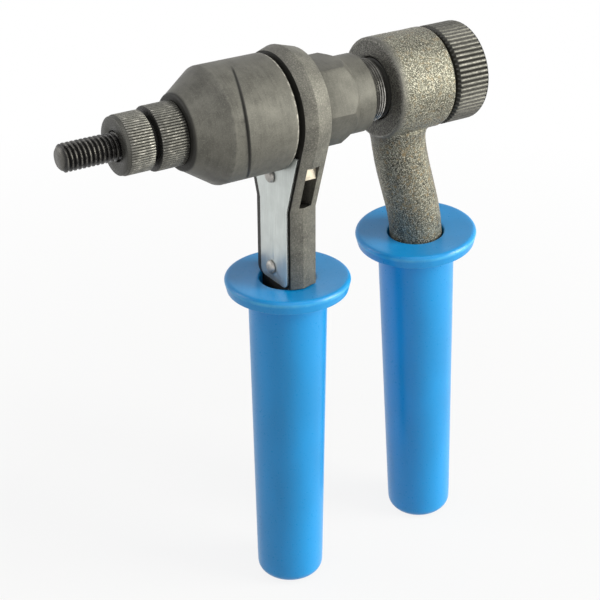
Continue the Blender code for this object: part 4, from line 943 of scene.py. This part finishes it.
def grip_mesh(name, length, mouth_r):
    """A grip about its own line, with z = 0 at its closed end."""
    h = handles()
    under = length - h.flange_thickness
    end_r = h.grip_r - h.grip_taper * under
    edge_r = h.flange_r - h.flange_undercut
    corner, fillet, top_round = h.grip_end_round, h.grip_fillet, h.flange_top_round
    lip = h.mouth_round
    rows = [(0, 0)] + arc((corner, end_r - corner), corner, 180, 90, 12)
    rows += [(z, end_r + h.grip_taper * z) for z in between(corner, under - fillet, 24)[:-1]]
    rows += arc((under - fillet, h.grip_r + fillet), fillet, 270, 360, 9)
    rows += arc((under + h.flange_edge, edge_r - h.flange_edge), h.flange_edge, 180, 90, 4)
    rows += arc((length - top_round, h.flange_r - top_round), top_round, 90, 0, 12)
    dish_r = h.flange_r - top_round
    rows += [(length - h.flange_dish * t, dish_r - (dish_r - mouth_r - lip) * t)
             for t in between(0, 1, 6)]
    rows += arc((length - h.flange_dish - lip, mouth_r + lip), lip, 360, 270, 6)[1:]
    mouth_end = length - h.mouth_depth
    rows += [(mouth_end, mouth_r), (mouth_end - 1.0 * MM, h.tang_bore_r),
             (h.end_wall, h.tang_bore_r), (h.end_wall, 0)]
    return turned(name, rows, steps=144, upright=True)


class RIVETTOOL_OT_grips(Operator):
    """Make the two moulded grips"""
    bl_idname = "rivet_tool.grips"
    bl_label = "Grips"

    def execute(self, context):
        h = handles()
        for node, body, place, length, mouth_r in (
                ("front_grip", "lever", FRONT_HANDLE, h.front_length, h.front_mouth_r),
                ("rear_grip", "frame", REAR_HANDLE, h.rear_length, h.rear_mouth_r)):
            name = f"{node}_moulded"
            finish = grip_finish(f"{node}_blue_moulding", place.to_3x3().inverted().to_euler())
            put(grip_mesh(name, length, mouth_r), name, place, body, "blue_plastic", finish, node,
                sharp=17.0)
        return {'FINISHED'}


class RIVETTOOL_OT_knob(Operator):
    """Make the fluted control knob"""
    bl_idname = "rivet_tool.knob"
    bl_label = "Control knob"

    def execute(self, context):
        h = handles()
        start, end = KNOB_START, KNOB_END
        recess, recess_r = end - 4.4 * MM, 6.5 * MM
        hole_r = 2.3 * MM
        rounding = arc((end - h.knob_round, h.knob_r - h.knob_round), h.knob_round, 90, 12, 16)
        rear_r = rounding[-1][1] - 0.9 * MM
        socket, socket_r = start + 7.3 * MM, 5.2 * MM
        bevel = start + h.front_bevel
        rows = [(start, socket_r), (start, h.knob_r - 1.3 * h.front_bevel), (bevel, h.knob_r)]
        rows += [(x, h.knob_r) for x in between(bevel, end - h.knob_round, 6)][:-1] + rounding
        rows += [(end, rear_r), (end, recess_r), (recess, recess_r), (recess, hole_r), (socket, hole_r),
                 (socket, socket_r)]
        flute = rib_form(h.knob_r, h.flute_depth, h.knob_flutes, 1.5, high=end - h.flute_end)
        # The knob's front bevel is painted dark as shade beside the gap in front of the knob.
        finish = ribbed_finish("knob_blackened_flutes", h.knob_r, h.flute_depth, bevel, 0.62, 0.36)
        mesh = turned("knob_fluted", rows, STEPS_PER_FLUTE * h.knob_flutes, flute, hollow=True)
        put(mesh, "knob_fluted", TOOL, "mandrel_drive", "knurled_steel", finish, "control_knob",
            sharp=40.0)
        return {'FINISHED'}


class RIVETTOOL_OT_inner(Operator):
    """Finish the bearing, nut, spindle, key, spring and screw as they are"""
    bl_idname = "rivet_tool.inner"
    bl_label = "Inner pieces"

    def execute(self, context):
        c = colours()
        bright = steel_finish("inner_ground_steel", c.bright)
        dark = steel_finish("inner_oiled_steel", tone(c.phosphate, 0.6), 0.36, 0.7)
        cage = steel_finish("bearing_cage_brass", c.brass, 0.34)
        finishes = {"drive_nut": dark, "pull_spindle": dark, "guide_key": dark, "bearing_cage": cage}
        for name, node in frame["nodes"].items():
            if not node.hide_render:
                node.data.materials.clear()
                node.data.materials.append(finishes.get(name, bright))
        return {'FINISHED'}


def lamp(name, place, target, width, height, power, tint):
    data = bpy.data.lights.new(name, 'AREA')
    data.shape = 'RECTANGLE'
    data.size = width
    data.size_y = height
    data.energy = power
    data.color = tint
    made = linked(name, data)
    made.location = place
    made.rotation_euler = (Vector(target) - Vector(place)).to_track_quat('-Z', 'Y').to_euler()


class RIVETTOOL_OT_studio(Operator):
    """Make the floor, lamps and camera"""
    bl_idname = "rivet_tool.studio"
    bl_label = "Studio"

    def execute(self, context):
        scene = context.scene
        s = scene.rivet_tool_studio
        mesh = bpy.data.meshes.new("stage_floor")
        corners = 64
        turns = [2 * pi * i / corners for i in range(corners)]
        ring = [(FLOOR_R * cos(a), FLOOR_R * sin(a), -FLOOR_DROP) for a in turns]
        mesh.from_pydata(ring, [], [list(range(corners))])
        mesh.materials.append(stage_finish())
        linked("stage_floor", mesh)

        back = Vector((sin(s.azimuth) * cos(s.elevation), -cos(s.azimuth) * cos(s.elevation),
                       sin(s.elevation)))
        right = Vector((cos(s.azimuth), sin(s.azimuth), 0))
        up = back.cross(right)
        across = cos(s.roll) * right + sin(s.roll) * up
        over = -sin(s.roll) * right + cos(s.roll) * up
        data = bpy.data.cameras.new("camera")
        data.lens = s.lens
        data.sensor_width = 36.0
        data.shift_x = s.shift_x
        data.shift_y = s.shift_y
        data.clip_start = 0.01
        camera = linked("camera", data)
        turn = Matrix((across, over, back)).transposed().to_4x4()
        camera.matrix_world = Matrix.Translation(TOOL.translation + Vector(s.place)) @ turn
        scene.camera = camera

        middle = Vector((0, 0, AIM_HEIGHT))
        for name, side, height, distance, width, tall, power in LAMPS:
            a = radians(side) + s.azimuth
            e = radians(height)
            way = Vector((sin(a) * cos(e), -cos(a) * cos(e), sin(e)))
            tint = s.warm if name == "lamp_right" else (1, 1, 1)
            lamp(name, middle + way * distance, middle, width, tall, power, tint)

        world = bpy.data.worlds.new("studio_world")
        scene.world = world
        world.use_nodes = True
        tree = world.node_tree
        sky = tree.nodes["Background"]
        sky.inputs["Color"].default_value = (1, 1, 1, 1)
        strength = tree.nodes.new("ShaderNodeMapRange")
        strength.inputs["To Min"].default_value = s.ambient
        strength.inputs["To Max"].default_value = 1.0
        tree.links.new(seen_clear(tree), strength.inputs["Value"])
        tree.links.new(strength.outputs["Result"], sky.inputs["Strength"])
        scene.view_settings.view_transform = 'Standard'
        return {'FINISHED'}


class RIVETTOOL_PT_panel(Panel):
    """Sizes, colours and pieces of the rivet nut tool"""
    bl_label = "Rivet nut tool"
    bl_idname = "RIVETTOOL_PT_panel"
    bl_space_type = 'VIEW_3D'
    bl_region_type = 'UI'
    bl_category = "Rivet nut tool"

    def draw(self, context):
        for maker in MAKERS:
            self.layout.operator(maker.bl_idname)
        for title, owner in GROUPS:
            box = self.layout.box()
            box.label(text=title.replace("rivet_tool_", "").capitalize())
            group = getattr(context.scene, title)
            for key in owner.__annotations__:
                box.prop(group, key)


GROUPS = (("rivet_tool_nose", RivetToolNose), ("rivet_tool_handles", RivetToolHandles),
          ("rivet_tool_metal", RivetToolMetal), ("rivet_tool_colours", RivetToolColours),
          ("rivet_tool_studio", RivetToolStudio))
MAKERS = (RIVETTOOL_OT_mandrel, RIVETTOOL_OT_nosepieces, RIVETTOOL_OT_nose, RIVETTOOL_OT_body,
          RIVETTOOL_OT_lever, RIVETTOOL_OT_head, RIVETTOOL_OT_grips, RIVETTOOL_OT_knob,
          RIVETTOOL_OT_inner, RIVETTOOL_OT_studio)
CLASSES = tuple(owner for _, owner in GROUPS) + MAKERS + (RIVETTOOL_PT_panel,)


def register():
    for made in CLASSES:
        bpy.utils.register_class(made)
    for name, owner in GROUPS:
        setattr(bpy.types.Scene, name, PointerProperty(type=owner))


def unregister():
    for name, _ in GROUPS:
        delattr(bpy.types.Scene, name)
    for made in reversed(CLASSES):
        bpy.utils.unregister_class(made)


def main():
    register()
    for maker in MAKERS:
        group, action = maker.bl_idname.split(".")
        getattr(getattr(bpy.ops, group), action)()


if __name__ == "__main__":
    main()
